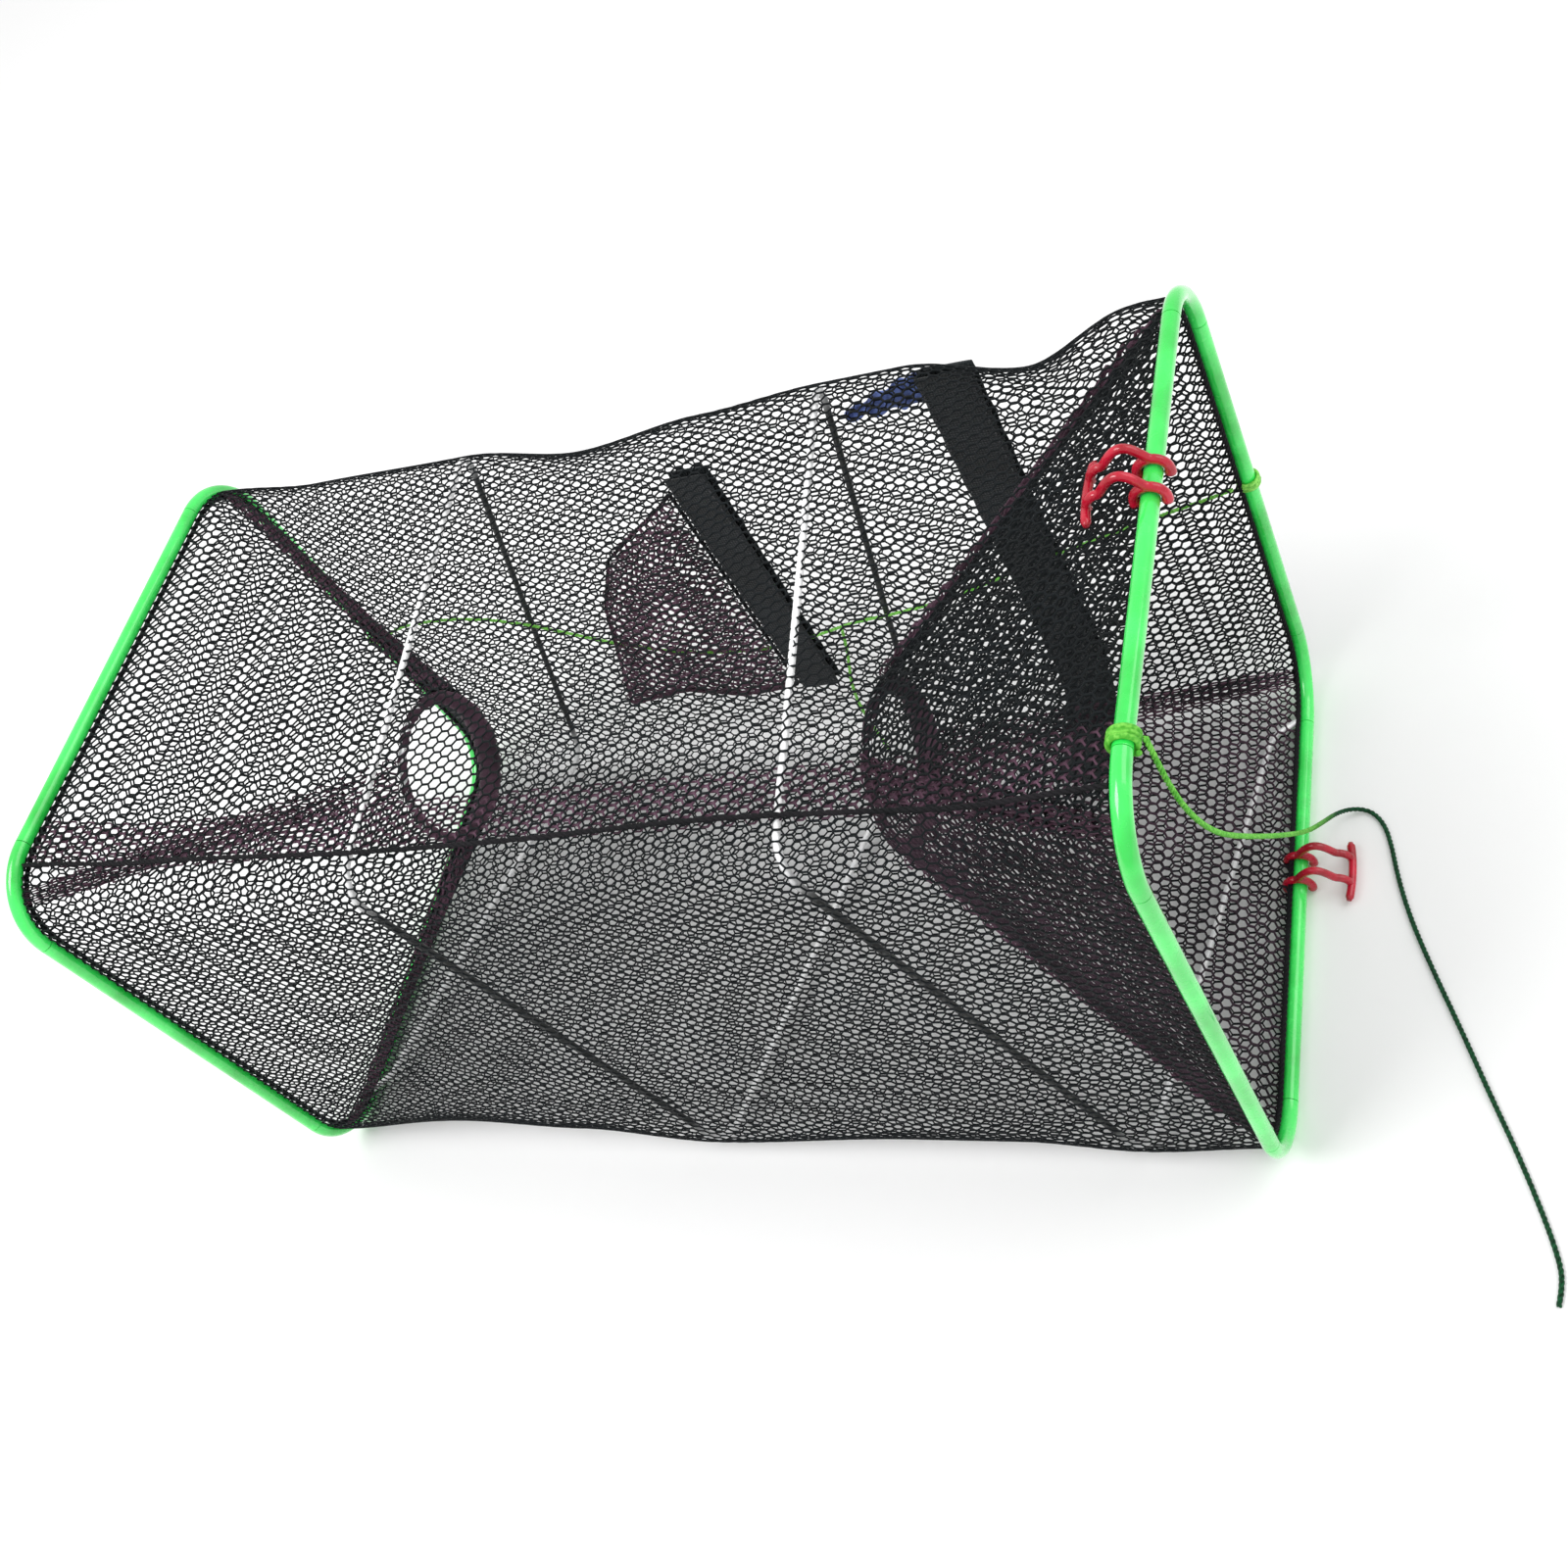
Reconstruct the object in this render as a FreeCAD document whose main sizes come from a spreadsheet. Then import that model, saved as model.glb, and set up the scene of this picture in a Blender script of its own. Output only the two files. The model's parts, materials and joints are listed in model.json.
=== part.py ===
import FreeCAD, Part
import Sketcher
import math
import os

# Folding crab trap.  Millimetres.  +X runs along the trap from its left end to its right end,
# +Y from its front face to its back face, +Z up.  The floor is Z = 0.  Lengths along the trap
# ("stations") are counted from the plane of the left end frame; V() turns them into the part's frame.

DOC = FreeCAD.newDocument("folding_crab_trap")
SHEET = DOC.addObject("Spreadsheet::Sheet", "sizes")

SIZES = {
    # end frames
    "frame_spacing": 460.0,
    "frame_side": 242.0,
    "corner_radius": 30.0,
    "sleeve_diameter": 6.6,
    "sleeve_bore": 5.4,
    "sleeve_gap": 0.6,
    "wire_diameter": 2.8,
    "running_gap": 0.3,
    "stitch_gap": 0.1,
    # spring coil between the frames
    "coil_clearance": 0.3,
    "coil_bend": 14.0,
    # net
    "net_inset": 8.0,
    "net_front_inset": 2.0,
    "net_thickness": 0.8,
    "net_standoff": 8.0,
    "net_rim_inset": 1.0,
    "net_flare": 60.0,
    "net_corner": 11.0,
    "net_rim_corner": 22.0,
    "funnel_rim_inset": 9.2,
    "seam_diameter": 1.6,
    "seam_setback": 21.0,
    # throats
    "throat_diameter": 66.0,
    "throat_wire": 3.6,
    "throat_hem": 6.0,
    "left_throat_side": 13.0,
    "left_throat_rise": 10.0,
    # closures
    "tape_thickness": 1.6,
    "inner_tape_inset": 11.0,
    "outer_tape_inset": 6.0,
    "pocket_tape_width": 20.0,
    "pocket_tape_length": 149.0,
    "pocket_tape_middle": -3.0,
    "access_tape_width": 24.0,
    "access_tape_length": 190.0,
    "access_tape_middle": 5.0,
    "access_tail_length": 28.0,
    "pocket_width": 100.0,
    "pocket_top_width": 8.0,
    "pocket_side_rise": 20.0,
    "pocket_top_drop": 3.2,
    "pocket_depth": 14.0,
    "tab_length": 37.0,
    "tab_height": 15.0,
    "tab_tip_height": 5.0,
    "tab_drop": 4.0,
    "tab_setback": 0.5,
    "tab_thickness": 1.2,
    # cords
    "bait_line_diameter": 1.6,
    "haul_cord_diameter": 2.0,
    "knot_gap": 0.02,
    # folding clips
    "folded_pitch": 16.0,
    "clip_rod": 3.2,
    "clip_prong_spacing": 12.0,
    "clip_stem_length": 28.0,
    "clip_place": 13.0,
    "clip_snap_wrap": 105.0,
    "clip_back_wrap": 102.0,
}
for row, (alias, value) in enumerate(SIZES.items(), start=1):
    SHEET.set("A%d" % row, alias)
    SHEET.set("B%d" % row, str(value))
    SHEET.setAlias("B%d" % row, alias)
DOC.recompute()


def size(alias):
    return float(getattr(SHEET, alias))


# Where the coil's quarter turns bend, and where rings and tapes sit, as shares of the frame spacing.
COIL_TURNS = (("FB", 0.152), ("TB", 0.313), ("TF", 0.370), ("BF", 0.472), ("FB", 0.590),
              ("TB", 0.687), ("TF", 0.755), ("BF", 0.885))
LEFT_THROAT_SHARE = 0.222
RIGHT_THROAT_SHARE = 0.711
POCKET_TAPE_SHARE = 0.511
ACCESS_TAPE_SHARE = 0.793

SPACING = size("frame_spacing")
HALF = size("frame_side") / 2
SLEEVE_R = size("sleeve_diameter") / 2
WIRE_R = size("wire_diameter") / 2
GAP = size("running_gap")
STITCH = size("stitch_gap")
CLIP_R = size("clip_rod") / 2
CLIP_ARC = SLEEVE_R + GAP + CLIP_R
CLIP_REACH = size("folded_pitch") + CLIP_ARC + CLIP_R
MIDDLE = (SPACING + CLIP_REACH - SLEEVE_R) / 2
AXIS_HEIGHT = HALF + SLEEVE_R
ACROSS = FreeCAD.Rotation(FreeCAD.Vector(0, 1, 0), 90)
TORUS_AXES = (FreeCAD.Vector(), FreeCAD.Vector(0, 0, 1))
# A quarter ring made about Z from +X to +Y turns with this to lie across the trap, from +Y to +Z.
QUARTER_UP = FreeCAD.Rotation(FreeCAD.Vector(0, 1, 0), FreeCAD.Vector(0, 0, 1), FreeCAD.Vector(1, 0, 0),
                              "ZXY")
# An arc takes this share of the shorter of its two runs, and a swept rod's volume is within VOLUME_SLACK.
ARC_SHARE = 0.45
VOLUME_SLACK = 0.02
KNOT_TURNS = 3

NODES = []


def V(station, side=0.0, rise=0.0):
    """A point from its station, its distance behind the axis and its height above the axis."""
    return FreeCAD.Vector(station - MIDDLE, side, rise + AXIS_HEIGHT)


def node(thing, label):
    thing.Label = label
    NODES.append(thing)
    return thing


def shape_node(label, shape, place=None):
    """A Part::Feature for a shape that neither a body nor a primitive makes."""
    feature = DOC.addObject("Part::Feature", label)
    feature.Shape = shape
    feature.Placement = place or FreeCAD.Placement()
    return node(feature, label)


# ---------------------------------------------------------------- paths and tubes

def rounded_path(points, radius=None, told=None):
    """Straight runs joined by tangent arcs; with no radius each arc takes what its two runs allow."""
    edges = []
    start = points[0]
    radii = []
    for before, corner, after in zip(points, points[1:], points[2:]):
        back = (before - corner).normalize()
        ahead = (after - corner).normalize()
        half_turn = (math.pi - back.getAngle(ahead)) / 2
        shorter = min((before - corner).Length, (after - corner).Length)
        most = ARC_SHARE * shorter / math.tan(half_turn)
        arc_radius = most if radius is None else min(radius, most)
        radii.append(arc_radius)
        reach = arc_radius * math.tan(half_turn)
        first = corner + back * reach
        last = corner + ahead * reach
        bisector = (back + ahead).normalize()
        centre = corner + bisector * (arc_radius / math.cos(half_turn))
        middle = centre - bisector * arc_radius
        edges.append(Part.LineSegment(start, first).toShape())
        edges.append(Part.Arc(first, middle, last).toShape())
        start = last
    edges.append(Part.LineSegment(start, points[-1]).toShape())
    if told:
        print(told, "arc radii", [round(r, 1) for r in radii])
    return Part.Wire(edges)


def tube(path, radius):
    """A round solid swept along a path of lines and tangent arcs."""
    start = path.OrderedVertexes[0].Point
    along = path.OrderedEdges[0].tangentAt(path.OrderedEdges[0].FirstParameter)
    circle = Part.Wire(Part.makeCircle(radius, start, along))
    solid = path.makePipeShell([circle], True, False, 2)
    expected = math.pi * radius ** 2 * path.Length
    if abs(solid.Volume - expected) > VOLUME_SLACK * expected:
        raise RuntimeError("tube volume %.1f, expected %.1f" % (solid.Volume, expected))
    return solid


def rounded_square(station, high, low, radius):
    """A closed wire across the trap with round corners: its back and top sides are this high above
    the axis, and its front and bottom sides this far below it."""
    corners = ((high, high), (-low, high), (-low, -low), (high, -low))
    inward = ((-1, -1), (1, -1), (1, 1), (-1, 1))
    ahead = ((-1, 0), (0, -1), (1, 0), (0, 1))
    bend = radius * (1 - math.sqrt(0.5))
    edges = []
    start = None
    for (side, rise), (in_y, in_z), (to_y, to_z), (from_y, from_z) in zip(
            corners, inward, ahead, ahead[-1:] + ahead[:-1]):
        first = V(station, side - radius * from_y, rise - radius * from_z)
        middle = V(station, side + bend * in_y, rise + bend * in_z)
        last = V(station, side + radius * to_y, rise + radius * to_z)
        if start:
            edges.append(Part.LineSegment(start, first).toShape())
        edges.append(Part.Arc(first, middle, last).toShape())
        start = last
    edges.append(Part.LineSegment(start, edges[0].firstVertex().Point).toShape())
    return Part.Wire(edges)


def frame_rod(station, radius, bore=0.0):
    """A round rod, or a tube with this bore radius, bent into the frame's rounded square."""
    flat = HALF - size("corner_radius")
    pieces = []
    for quarter in range(4):
        turn = FreeCAD.Rotation(FreeCAD.Vector(1, 0, 0), 90 * quarter)
        start = turn.multVec(FreeCAD.Vector(0, HALF, -flat))
        along = turn.multVec(FreeCAD.Vector(0, 0, 1))
        bar_turn = FreeCAD.Rotation(FreeCAD.Vector(0, 0, 1), along)
        place = FreeCAD.Placement(V(station, start.y, start.z), bar_turn)
        centre = turn.multVec(FreeCAD.Vector(0, flat, flat))
        bend_place = FreeCAD.Placement(V(station, centre.y, centre.z), turn.multiply(QUARTER_UP))
        straight = Part.makeCylinder(radius, 2 * flat)
        bend = Part.makeTorus(size("corner_radius"), radius, *TORUS_AXES, -180, 180, 90)
        if bore:
            straight = straight.cut(Part.makeCylinder(bore, 2 * flat))
            bend = bend.cut(Part.makeTorus(size("corner_radius"), bore, *TORUS_AXES, -180, 180, 90))
        straight.Placement = place
        bend.Placement = bend_place
        pieces += [straight, bend]
    return pieces[0].multiFuse(pieces[1:])


# ---------------------------------------------------------------- end frames

def plane_of(body, role):
    return [f for f in body.Origin.OriginFeatures if f.Role == role][0]


def sketch_on(body, name, role="XY_Plane"):
    sketch = body.newObject("Sketcher::SketchObject", name)
    sketch.AttachmentSupport = [(plane_of(body, role), "")]
    sketch.MapMode = "FlatFace"
    return sketch


def straight_sleeve(label, station, quarter):
    """A length of split tubing on one straight bar: two bound circles, padded along the bar."""
    body = DOC.addObject("PartDesign::Body", label)
    sketch = sketch_on(body, label + "_rings")
    for alias in ("sleeve_diameter", "sleeve_bore"):
        ring = Part.Circle(FreeCAD.Vector(), FreeCAD.Vector(0, 0, 1), size(alias) / 2)
        edge = sketch.addGeometry(ring, False)
        sketch.addConstraint(Sketcher.Constraint("Coincident", edge, 3, -1, 1))
        bound = sketch.addConstraint(Sketcher.Constraint("Diameter", edge, size(alias)))
        sketch.setExpression("Constraints[%d]" % bound, "sizes." + alias)
    pad = body.newObject("PartDesign::Pad", label + "_length")
    pad.Profile = sketch
    pad.setExpression("Length", "sizes.frame_side - 2 * sizes.corner_radius - sizes.sleeve_gap")
    sketch.Visibility = False
    body.Tip = pad
    turn = FreeCAD.Rotation(FreeCAD.Vector(1, 0, 0), 90 * quarter)
    start = turn.multVec(FreeCAD.Vector(0, HALF, size("corner_radius") + size("sleeve_gap") / 2 - HALF))
    body.Placement = FreeCAD.Placement(V(station, start.y, start.z), turn)
    return node(body, label)


def corner_sleeve(label, station, quarter):
    """A short bent length of tubing on one corner: a quarter ring cut out of a quarter ring."""
    rings = []
    for name, alias in (("outside", "sleeve_diameter"), ("bore", "sleeve_bore")):
        ring = DOC.addObject("Part::Torus", label + "_" + name)
        ring.setExpression("Radius1", "sizes.corner_radius")
        ring.setExpression("Radius2", "sizes.%s / 2" % alias)
        ring.Angle3 = 90
        rings.append(ring)
    cut = DOC.addObject("Part::Cut", label)
    cut.Base, cut.Tool = rings
    turn = FreeCAD.Rotation(FreeCAD.Vector(1, 0, 0), 90 * quarter)
    flat = HALF - size("corner_radius")
    centre = turn.multVec(FreeCAD.Vector(0, flat, flat))
    cut.Placement = FreeCAD.Placement(V(station, centre.y, centre.z), turn.multiply(QUARTER_UP))
    return node(cut, label)


BARS = ("back", "top", "front", "bottom")
CORNERS = ("top_back", "top_front", "bottom_front", "bottom_back")


def end_frame(end, station):
    shape_node(end + "_frame_wire", frame_rod(station, WIRE_R))
    hem = frame_rod(station, size("sleeve_bore") / 2 - STITCH, WIRE_R + STITCH)
    shape_node(end + "_net_hem", hem)
    for quarter in range(4):
        straight_sleeve("%s_%s_sleeve" % (end, BARS[quarter]), station, quarter)
        corner_sleeve("%s_%s_corner_sleeve" % (end, CORNERS[quarter]), station, quarter)


# ---------------------------------------------------------------- spring coil

def coil_reach(net_inset):
    """How far from the axis the wire's centre line runs inside a net face with this inset."""
    return HALF - size(net_inset) - size("net_thickness") - size("coil_clearance") - WIRE_R


def coil_corner(which, share):
    high = coil_reach("net_inset")
    low = coil_reach("net_front_inset")
    sides = {"FB": (high, -low), "TB": (high, high), "TF": (-low, high), "BF": (-low, -low)}
    side, rise = sides[which]
    return V(share * SPACING, side, rise)


def coil_spring():
    """The wire leaves each frame at the end of a corner sleeve on the bottom bar."""
    exit_side = HALF - size("corner_radius") - size("sleeve_gap")
    out_drop = HALF - size("net_rim_inset") - size("net_thickness") - WIRE_R
    run_drop = coil_reach("net_front_inset")
    lead = size("net_standoff") + 4 * WIRE_R
    inboard = exit_side - 6 * WIRE_R
    points = [V(SLEEVE_R, -exit_side, -out_drop), V(lead, -inboard, -run_drop)]
    points += [coil_corner(which, share) for which, share in COIL_TURNS]
    points += [V(SPACING - lead, inboard, -run_drop), V(SPACING - SLEEVE_R - GAP, exit_side, -out_drop)]
    return tube(rounded_path(points, size("coil_bend"), "coil"), WIRE_R)


# ---------------------------------------------------------------- net

def sleeve_of_net(outward):
    """A solid of the net's waisted outline, this far outside its inner face."""
    start = size("net_standoff")
    inner = HALF - size("net_thickness") + outward
    rim = (inner - size("net_rim_inset"), inner - size("net_rim_inset"), size("net_rim_corner") + outward)
    waist = (inner - size("net_inset"), inner - size("net_front_inset"), size("net_corner") + outward)
    ends = (start, start + size("net_flare"), SPACING - start - size("net_flare"), SPACING - start)
    wires = [rounded_square(station, *sides) for station, sides in zip(ends, (rim, waist, waist, rim))]
    return Part.makeLoft(wires, True, True)


def wedge(quarter):
    """A prism from the axis outwards, over one of the four faces."""
    far = 2 * HALF
    turn = FreeCAD.Rotation(FreeCAD.Vector(1, 0, 0), 90 * quarter)
    corners = [(GAP, 0), (far + GAP, -far), (far + GAP, far), (GAP, 0)]
    points = []
    for side, rise in corners:
        corner = turn.multVec(FreeCAD.Vector(0, side, rise))
        points.append(V(-SLEEVE_R, corner.y, corner.z))
    face = Part.Face(Part.makePolygon(points))
    return face.extrude(FreeCAD.Vector(SPACING + 2 * SLEEVE_R, 0, 0))


def net_panels():
    shell = sleeve_of_net(size("net_thickness")).cut(sleeve_of_net(0))
    for quarter in range(4):
        shape_node("net_%s_panel" % BARS[quarter], shell.common(wedge(quarter)))


def net_seam():
    """The doubled seam of the net: a cord along the top panel, a little behind its front edge."""
    start = size("net_standoff")
    flare = start + size("net_flare")
    rim = HALF - size("net_rim_inset") + size("seam_diameter")
    waist = HALF - size("net_inset") + size("seam_diameter")
    side = size("seam_setback") - HALF
    stations = (start, flare, SPACING - flare, SPACING - start)
    points = [V(station, side, rise) for station, rise in zip(stations, (rim, waist, waist, rim))]
    return tube(rounded_path(points), size("seam_diameter") / 2)


def funnel(label, rim, throat, side, rise):
    """Four flat panels that narrow from the frame's square to the square round the throat ring."""
    opening = (size("throat_diameter") + size("throat_hem")) / 2 + GAP
    mouth = HALF - size("funnel_rim_inset")

    def stack(wall):
        wires = []
        for station, half, y, z in ((rim, mouth, 0, 0), (throat, opening, side, rise)):
            reach = half + wall
            ring = [V(station, y + a * reach, z + b * reach) for a, b in
                    ((1, -1), (1, 1), (-1, 1), (-1, -1), (1, -1))]
            wires.append(Part.makePolygon(ring))
        return Part.makeLoft(wires, True, True)

    return shape_node(label, stack(size("net_thickness")).cut(stack(0)))


def throat_ring(end, station, side, rise):
    """A wire ring and the rolled edge of the funnel round it."""
    ring = DOC.addObject("Part::Torus", end + "_throat_ring")
    ring.setExpression("Radius1", "sizes.throat_diameter / 2")
    ring.setExpression("Radius2", "sizes.throat_wire / 2")
    across = FreeCAD.Placement(V(station, side, rise), ACROSS)
    ring.Placement = across
    node(ring, end + "_throat_ring")
    parts = []
    bore = "sizes.throat_wire / 2 + sizes.stitch_gap"
    for name, radius in (("roll", "sizes.throat_hem / 2"), ("hollow", bore)):
        torus = DOC.addObject("Part::Torus", "%s_throat_%s" % (end, name))
        torus.setExpression("Radius1", "sizes.throat_diameter / 2")
        torus.setExpression("Radius2", radius)
        parts.append(torus)
    hem = DOC.addObject("Part::Cut", end + "_throat_hem")
    hem.Base, hem.Tool = parts
    hem.Placement = across
    node(hem, end + "_throat_hem")


# ---------------------------------------------------------------- closures and bait pocket

def strip(label, width, length, thickness, place):
    """A flat strip: a bound rectangle padded to its thickness (width along X, length along Y)."""
    body = DOC.addObject("PartDesign::Body", label)
    sketch = sketch_on(body, label + "_outline")
    wide, long = size(width), size(length)
    corners = [FreeCAD.Vector(0, 0, 0), FreeCAD.Vector(wide, 0, 0), FreeCAD.Vector(wide, long, 0),
               FreeCAD.Vector(0, long, 0)]
    for first, second in zip(corners, corners[1:] + corners[:1]):
        sketch.addGeometry(Part.LineSegment(first, second), False)
    for edge in range(4):
        sketch.addConstraint(Sketcher.Constraint("Coincident", edge, 2, (edge + 1) % 4, 1))
    for edge in (0, 2):
        sketch.addConstraint(Sketcher.Constraint("Horizontal", edge))
    for edge in (1, 3):
        sketch.addConstraint(Sketcher.Constraint("Vertical", edge))
    sketch.addConstraint(Sketcher.Constraint("Coincident", 0, 1, -1, 1))
    bound = sketch.addConstraint(Sketcher.Constraint("DistanceX", 0, 1, 0, 2, wide))
    sketch.setExpression("Constraints[%d]" % bound, "sizes." + width)
    bound = sketch.addConstraint(Sketcher.Constraint("DistanceY", 1, 1, 1, 2, long))
    sketch.setExpression("Constraints[%d]" % bound, "sizes." + length)
    pad = body.newObject("PartDesign::Pad", label + "_thickness")
    pad.Profile = sketch
    pad.setExpression("Length", "sizes." + thickness)
    sketch.Visibility = False
    body.Tip = pad
    body.Placement = place
    return node(body, label)


# Strips are drawn flat and stood up against the back face.
STAND = FreeCAD.Rotation(FreeCAD.Vector(1, 0, 0), 90)


def closure(name, share, width, length, middle):
    """An inner strip inside the net and an outer strip outside it, one above the other."""
    left = share * SPACING - size(width) / 2
    low = size(middle) - size(length) / 2
    for label, inset in (("inner", "inner_tape_inset"), ("outer", "outer_tape_inset")):
        corner = V(left, HALF - size(inset), low)
        strip("%s_%s_tape" % (name, label), width, length, "tape_thickness",
              FreeCAD.Placement(corner, STAND))
    return left, low


def access_tail(left, low):
    """The lower end of the inner strip: it bends onto the bottom face and runs forwards on it."""
    centre = -low
    bend = HALF - size("inner_tape_inset") - centre
    diagonal = math.sqrt(0.5)
    end = centre - size("access_tail_length")

    def edge_line(radius):
        first = V(left, centre + radius, -centre)
        middle = V(left, centre + radius * diagonal, -centre - radius * diagonal)
        second = V(left, centre, -centre - radius)
        last = V(left, end, -centre - radius)
        return [Part.Arc(first, middle, second).toShape(), Part.LineSegment(second, last).toShape()]

    outer = edge_line(bend)
    inner = edge_line(bend - size("tape_thickness"))
    closing = [Part.LineSegment(outer[0].firstVertex().Point, inner[0].firstVertex().Point).toShape(),
               Part.LineSegment(outer[1].lastVertex().Point, inner[1].lastVertex().Point).toShape()]
    outline = Part.Wire(Part.sortEdges(outer + inner + closing)[0])
    return Part.Face(outline).extrude(FreeCAD.Vector(size("access_tape_width"), 0, 0))


def pull_tab(left, low):
    """A tapering tab on the free edge of the outer strip, near its top."""
    top = low + size("access_tape_length") - size("tab_setback")
    tall, tip, drop = size("tab_height"), size("tab_tip_height"), size("tab_drop")
    y = HALF - size("outer_tape_inset") - size("tab_thickness")
    end = left - size("tab_length")
    outline = [V(left, y, top), V(left, y, top - tall),
               V(end, y, top - drop - tall / 2 - tip / 2),
               V(end, y, top - drop - tall / 2 + tip / 2)]
    face = Part.Face(Part.makePolygon(outline + outline[:1]))
    return face.extrude(FreeCAD.Vector(0, size("tab_thickness"), 0))


def bait_pocket(right):
    """A flat net pouch inside the back face: open to the back, wide at the bottom."""
    low = size("pocket_tape_middle") - size("pocket_tape_length") / 2
    high = low + size("pocket_tape_length") - size("pocket_top_drop")
    wall = size("net_thickness")
    rim = HALF - size("inner_tape_inset")

    def slab(shrink, front):
        low_left = right - size("pocket_width")
        high_left = right - size("pocket_top_width")
        outline = [V(right - shrink, front, low + shrink), V(right - shrink, front, high - shrink),
                   V(high_left + shrink, front, high - shrink),
                   V(low_left + shrink, front, low + size("pocket_side_rise")),
                   V(low_left + shrink, front, low + shrink)]
        face = Part.Face(Part.makePolygon(outline + outline[:1]))
        return face.extrude(FreeCAD.Vector(0, rim - front, 0))

    return slab(0, rim - size("pocket_depth")).cut(slab(wall, rim - size("pocket_depth") + wall))


# ---------------------------------------------------------------- cords

# Stations, distances in from the frame's back bars and heights above the axis, along the bait line.
BAIT_LINE = ((5.8, 3.6, -10), (20, 6.4, -1), (40, 9.6, 5), (68, 12.2, 7), (98, 13.6, 1), (122, 12, -15),
             (142, 10.1, -30), (172, 9.9, -43), (204, 9.9, -48), (232, 9.8, -47.5), (252, 9.9, -41.5),
             (272, 11.4, -35), (291, 13.6, -31), (320, 12, -28), (345, 10, -21), (368, 9.8, -13),
             (394, 9.9, -5), (422, 8.8, 2), (445, 5.8, 5), (454.1, 3.8, 6))
BAIT_TAIL = ((262, 10.8, -39.7), (259.5, 11.6, -52), (255, 12.4, -66), (250.5, 12.8, -80),
             (249, 13.8, -94), (250.5, 16.4, -104), (255, 22, -110), (261, 30, -111))
# Stations, distances behind the axis and heights above the floor, along the haul cord.
HAUL_CORD = ((466.4, -87, 245.3), (467, -88, 222), (467.7, -82, 194), (468.2, -70, 166), (468.8, -54, 139),
             (469, -34, 107), (469.6, -12, 73), (470.6, 9, 42), (472.4, 26, 22), (475.5, 38, 10),
             (481, 44.5, 3), (488, 44, 1.05), (493.5, 37, 1.05), (496.5, 26, 1.05), (499, 11, 1.05),
             (504, -9, 1.05), (512.5, -33, 1.05), (523, -60, 1.05), (532.5, -86, 1.05), (541, -108, 1.05),
             (548.5, -130, 1.05), (553.5, -147, 1.05), (554.8, -157, 1.05), (553, -165, 1.05))


def cord_along(points, diameter, told):
    return tube(rounded_path(points, None, told), size(diameter) / 2)


def bait_cords():
    line = [V(station, HALF - inset, rise) for station, inset, rise in BAIT_LINE]
    shape_node("bait_line", cord_along(line, "bait_line_diameter", "bait line"))
    tail = [V(station, HALF - inset, rise) for station, inset, rise in BAIT_TAIL]
    shape_node("bait_line_tail", cord_along(tail, "bait_line_diameter", "bait line tail"))


def haul_cord():
    route = [FreeCAD.Vector(station - MIDDLE, side, height) for station, side, height in HAUL_CORD]
    shape_node("haul_cord", cord_along(route, "haul_cord_diameter", "haul cord"))


def wraps(label, centre, along, cord):
    """A knot round a bar: close turns of cord, each a ring that just clears the sleeve."""
    radius = size(cord) / 2
    gap = size("knot_gap")
    rings = []
    for turn in range(KNOT_TURNS):
        shift = (turn - (KNOT_TURNS - 1) / 2) * (2 * radius + gap)
        ring = Part.makeTorus(SLEEVE_R + radius + gap, radius, centre + along * shift, along)
        rings.append(ring)
    return shape_node(label, Part.makeCompound(rings))


# ---------------------------------------------------------------- folding clips

def clip(label, station, side, rise, hook_way, back_way):
    """Two prongs that snap over the sleeve and reach across to the other frame, and a stem."""
    pitch = size("folded_pitch")

    def at(out, up, along):
        return V(station + hook_way * out, side + along, rise + back_way * up)

    def arc(centre, first, last, along):
        edge = []
        for angle in (first, (first + last) / 2, last):
            turn = math.radians(angle)
            edge.append(at(centre + CLIP_ARC * math.cos(turn), CLIP_ARC * math.sin(turn), along))
        return Part.Wire(Part.Arc(*edge).toShape())

    pieces = []
    for along in (-size("clip_prong_spacing") / 2, size("clip_prong_spacing") / 2):
        top = CLIP_ARC
        spans = [arc(0, 90, 90 + size("clip_snap_wrap"), along),
                 arc(0, 90, 90 - size("clip_back_wrap"), along), arc(pitch, 90, 0, along)]
        pieces += [tube(span, CLIP_R) for span in spans]
        bridge = at(pitch, top, along) - at(0, top, along)
        pieces.append(Part.makeCylinder(CLIP_R, pitch, at(0, top, along), bridge))
    stem = size("clip_stem_length")
    foot = at(pitch + CLIP_ARC, 0, -stem / 2)
    pieces.append(Part.makeCylinder(CLIP_R, stem, foot, FreeCAD.Vector(0, 1, 0)))
    for end in (-stem / 2, stem / 2):
        pieces.append(Part.makeSphere(CLIP_R, at(pitch + CLIP_ARC, 0, end)))
    return shape_node(label, pieces[0].multiFuse(pieces[1:]).removeSplitter())


# ---------------------------------------------------------------- assembly

end_frame("left", 0)
end_frame("right", SPACING)
shape_node("spring_coil_wire", coil_spring())
net_panels()
shape_node("net_seam", net_seam())
left_throat = LEFT_THROAT_SHARE * SPACING
right_throat = RIGHT_THROAT_SHARE * SPACING
throat_ring("left", left_throat, size("left_throat_side"), size("left_throat_rise"))
throat_ring("right", right_throat, 0, 0)
lip = size("throat_hem") / 2
funnel("left_funnel_net", size("net_standoff"), left_throat + lip, size("left_throat_side"),
       size("left_throat_rise"))
funnel("right_funnel_net", SPACING - size("net_standoff"), right_throat - lip, 0, 0)
pocket_left, _ = closure("pocket", POCKET_TAPE_SHARE, "pocket_tape_width", "pocket_tape_length",
                         "pocket_tape_middle")
access_left, access_low = closure("access", ACCESS_TAPE_SHARE, "access_tape_width",
                                  "access_tape_length", "access_tape_middle")
shape_node("access_tape_tail", access_tail(access_left, access_low))
shape_node("access_pull_tab", pull_tab(access_left - STITCH, access_low))
shape_node("bait_pocket_net", bait_pocket(pocket_left - GAP))
bait_cords()
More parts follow.
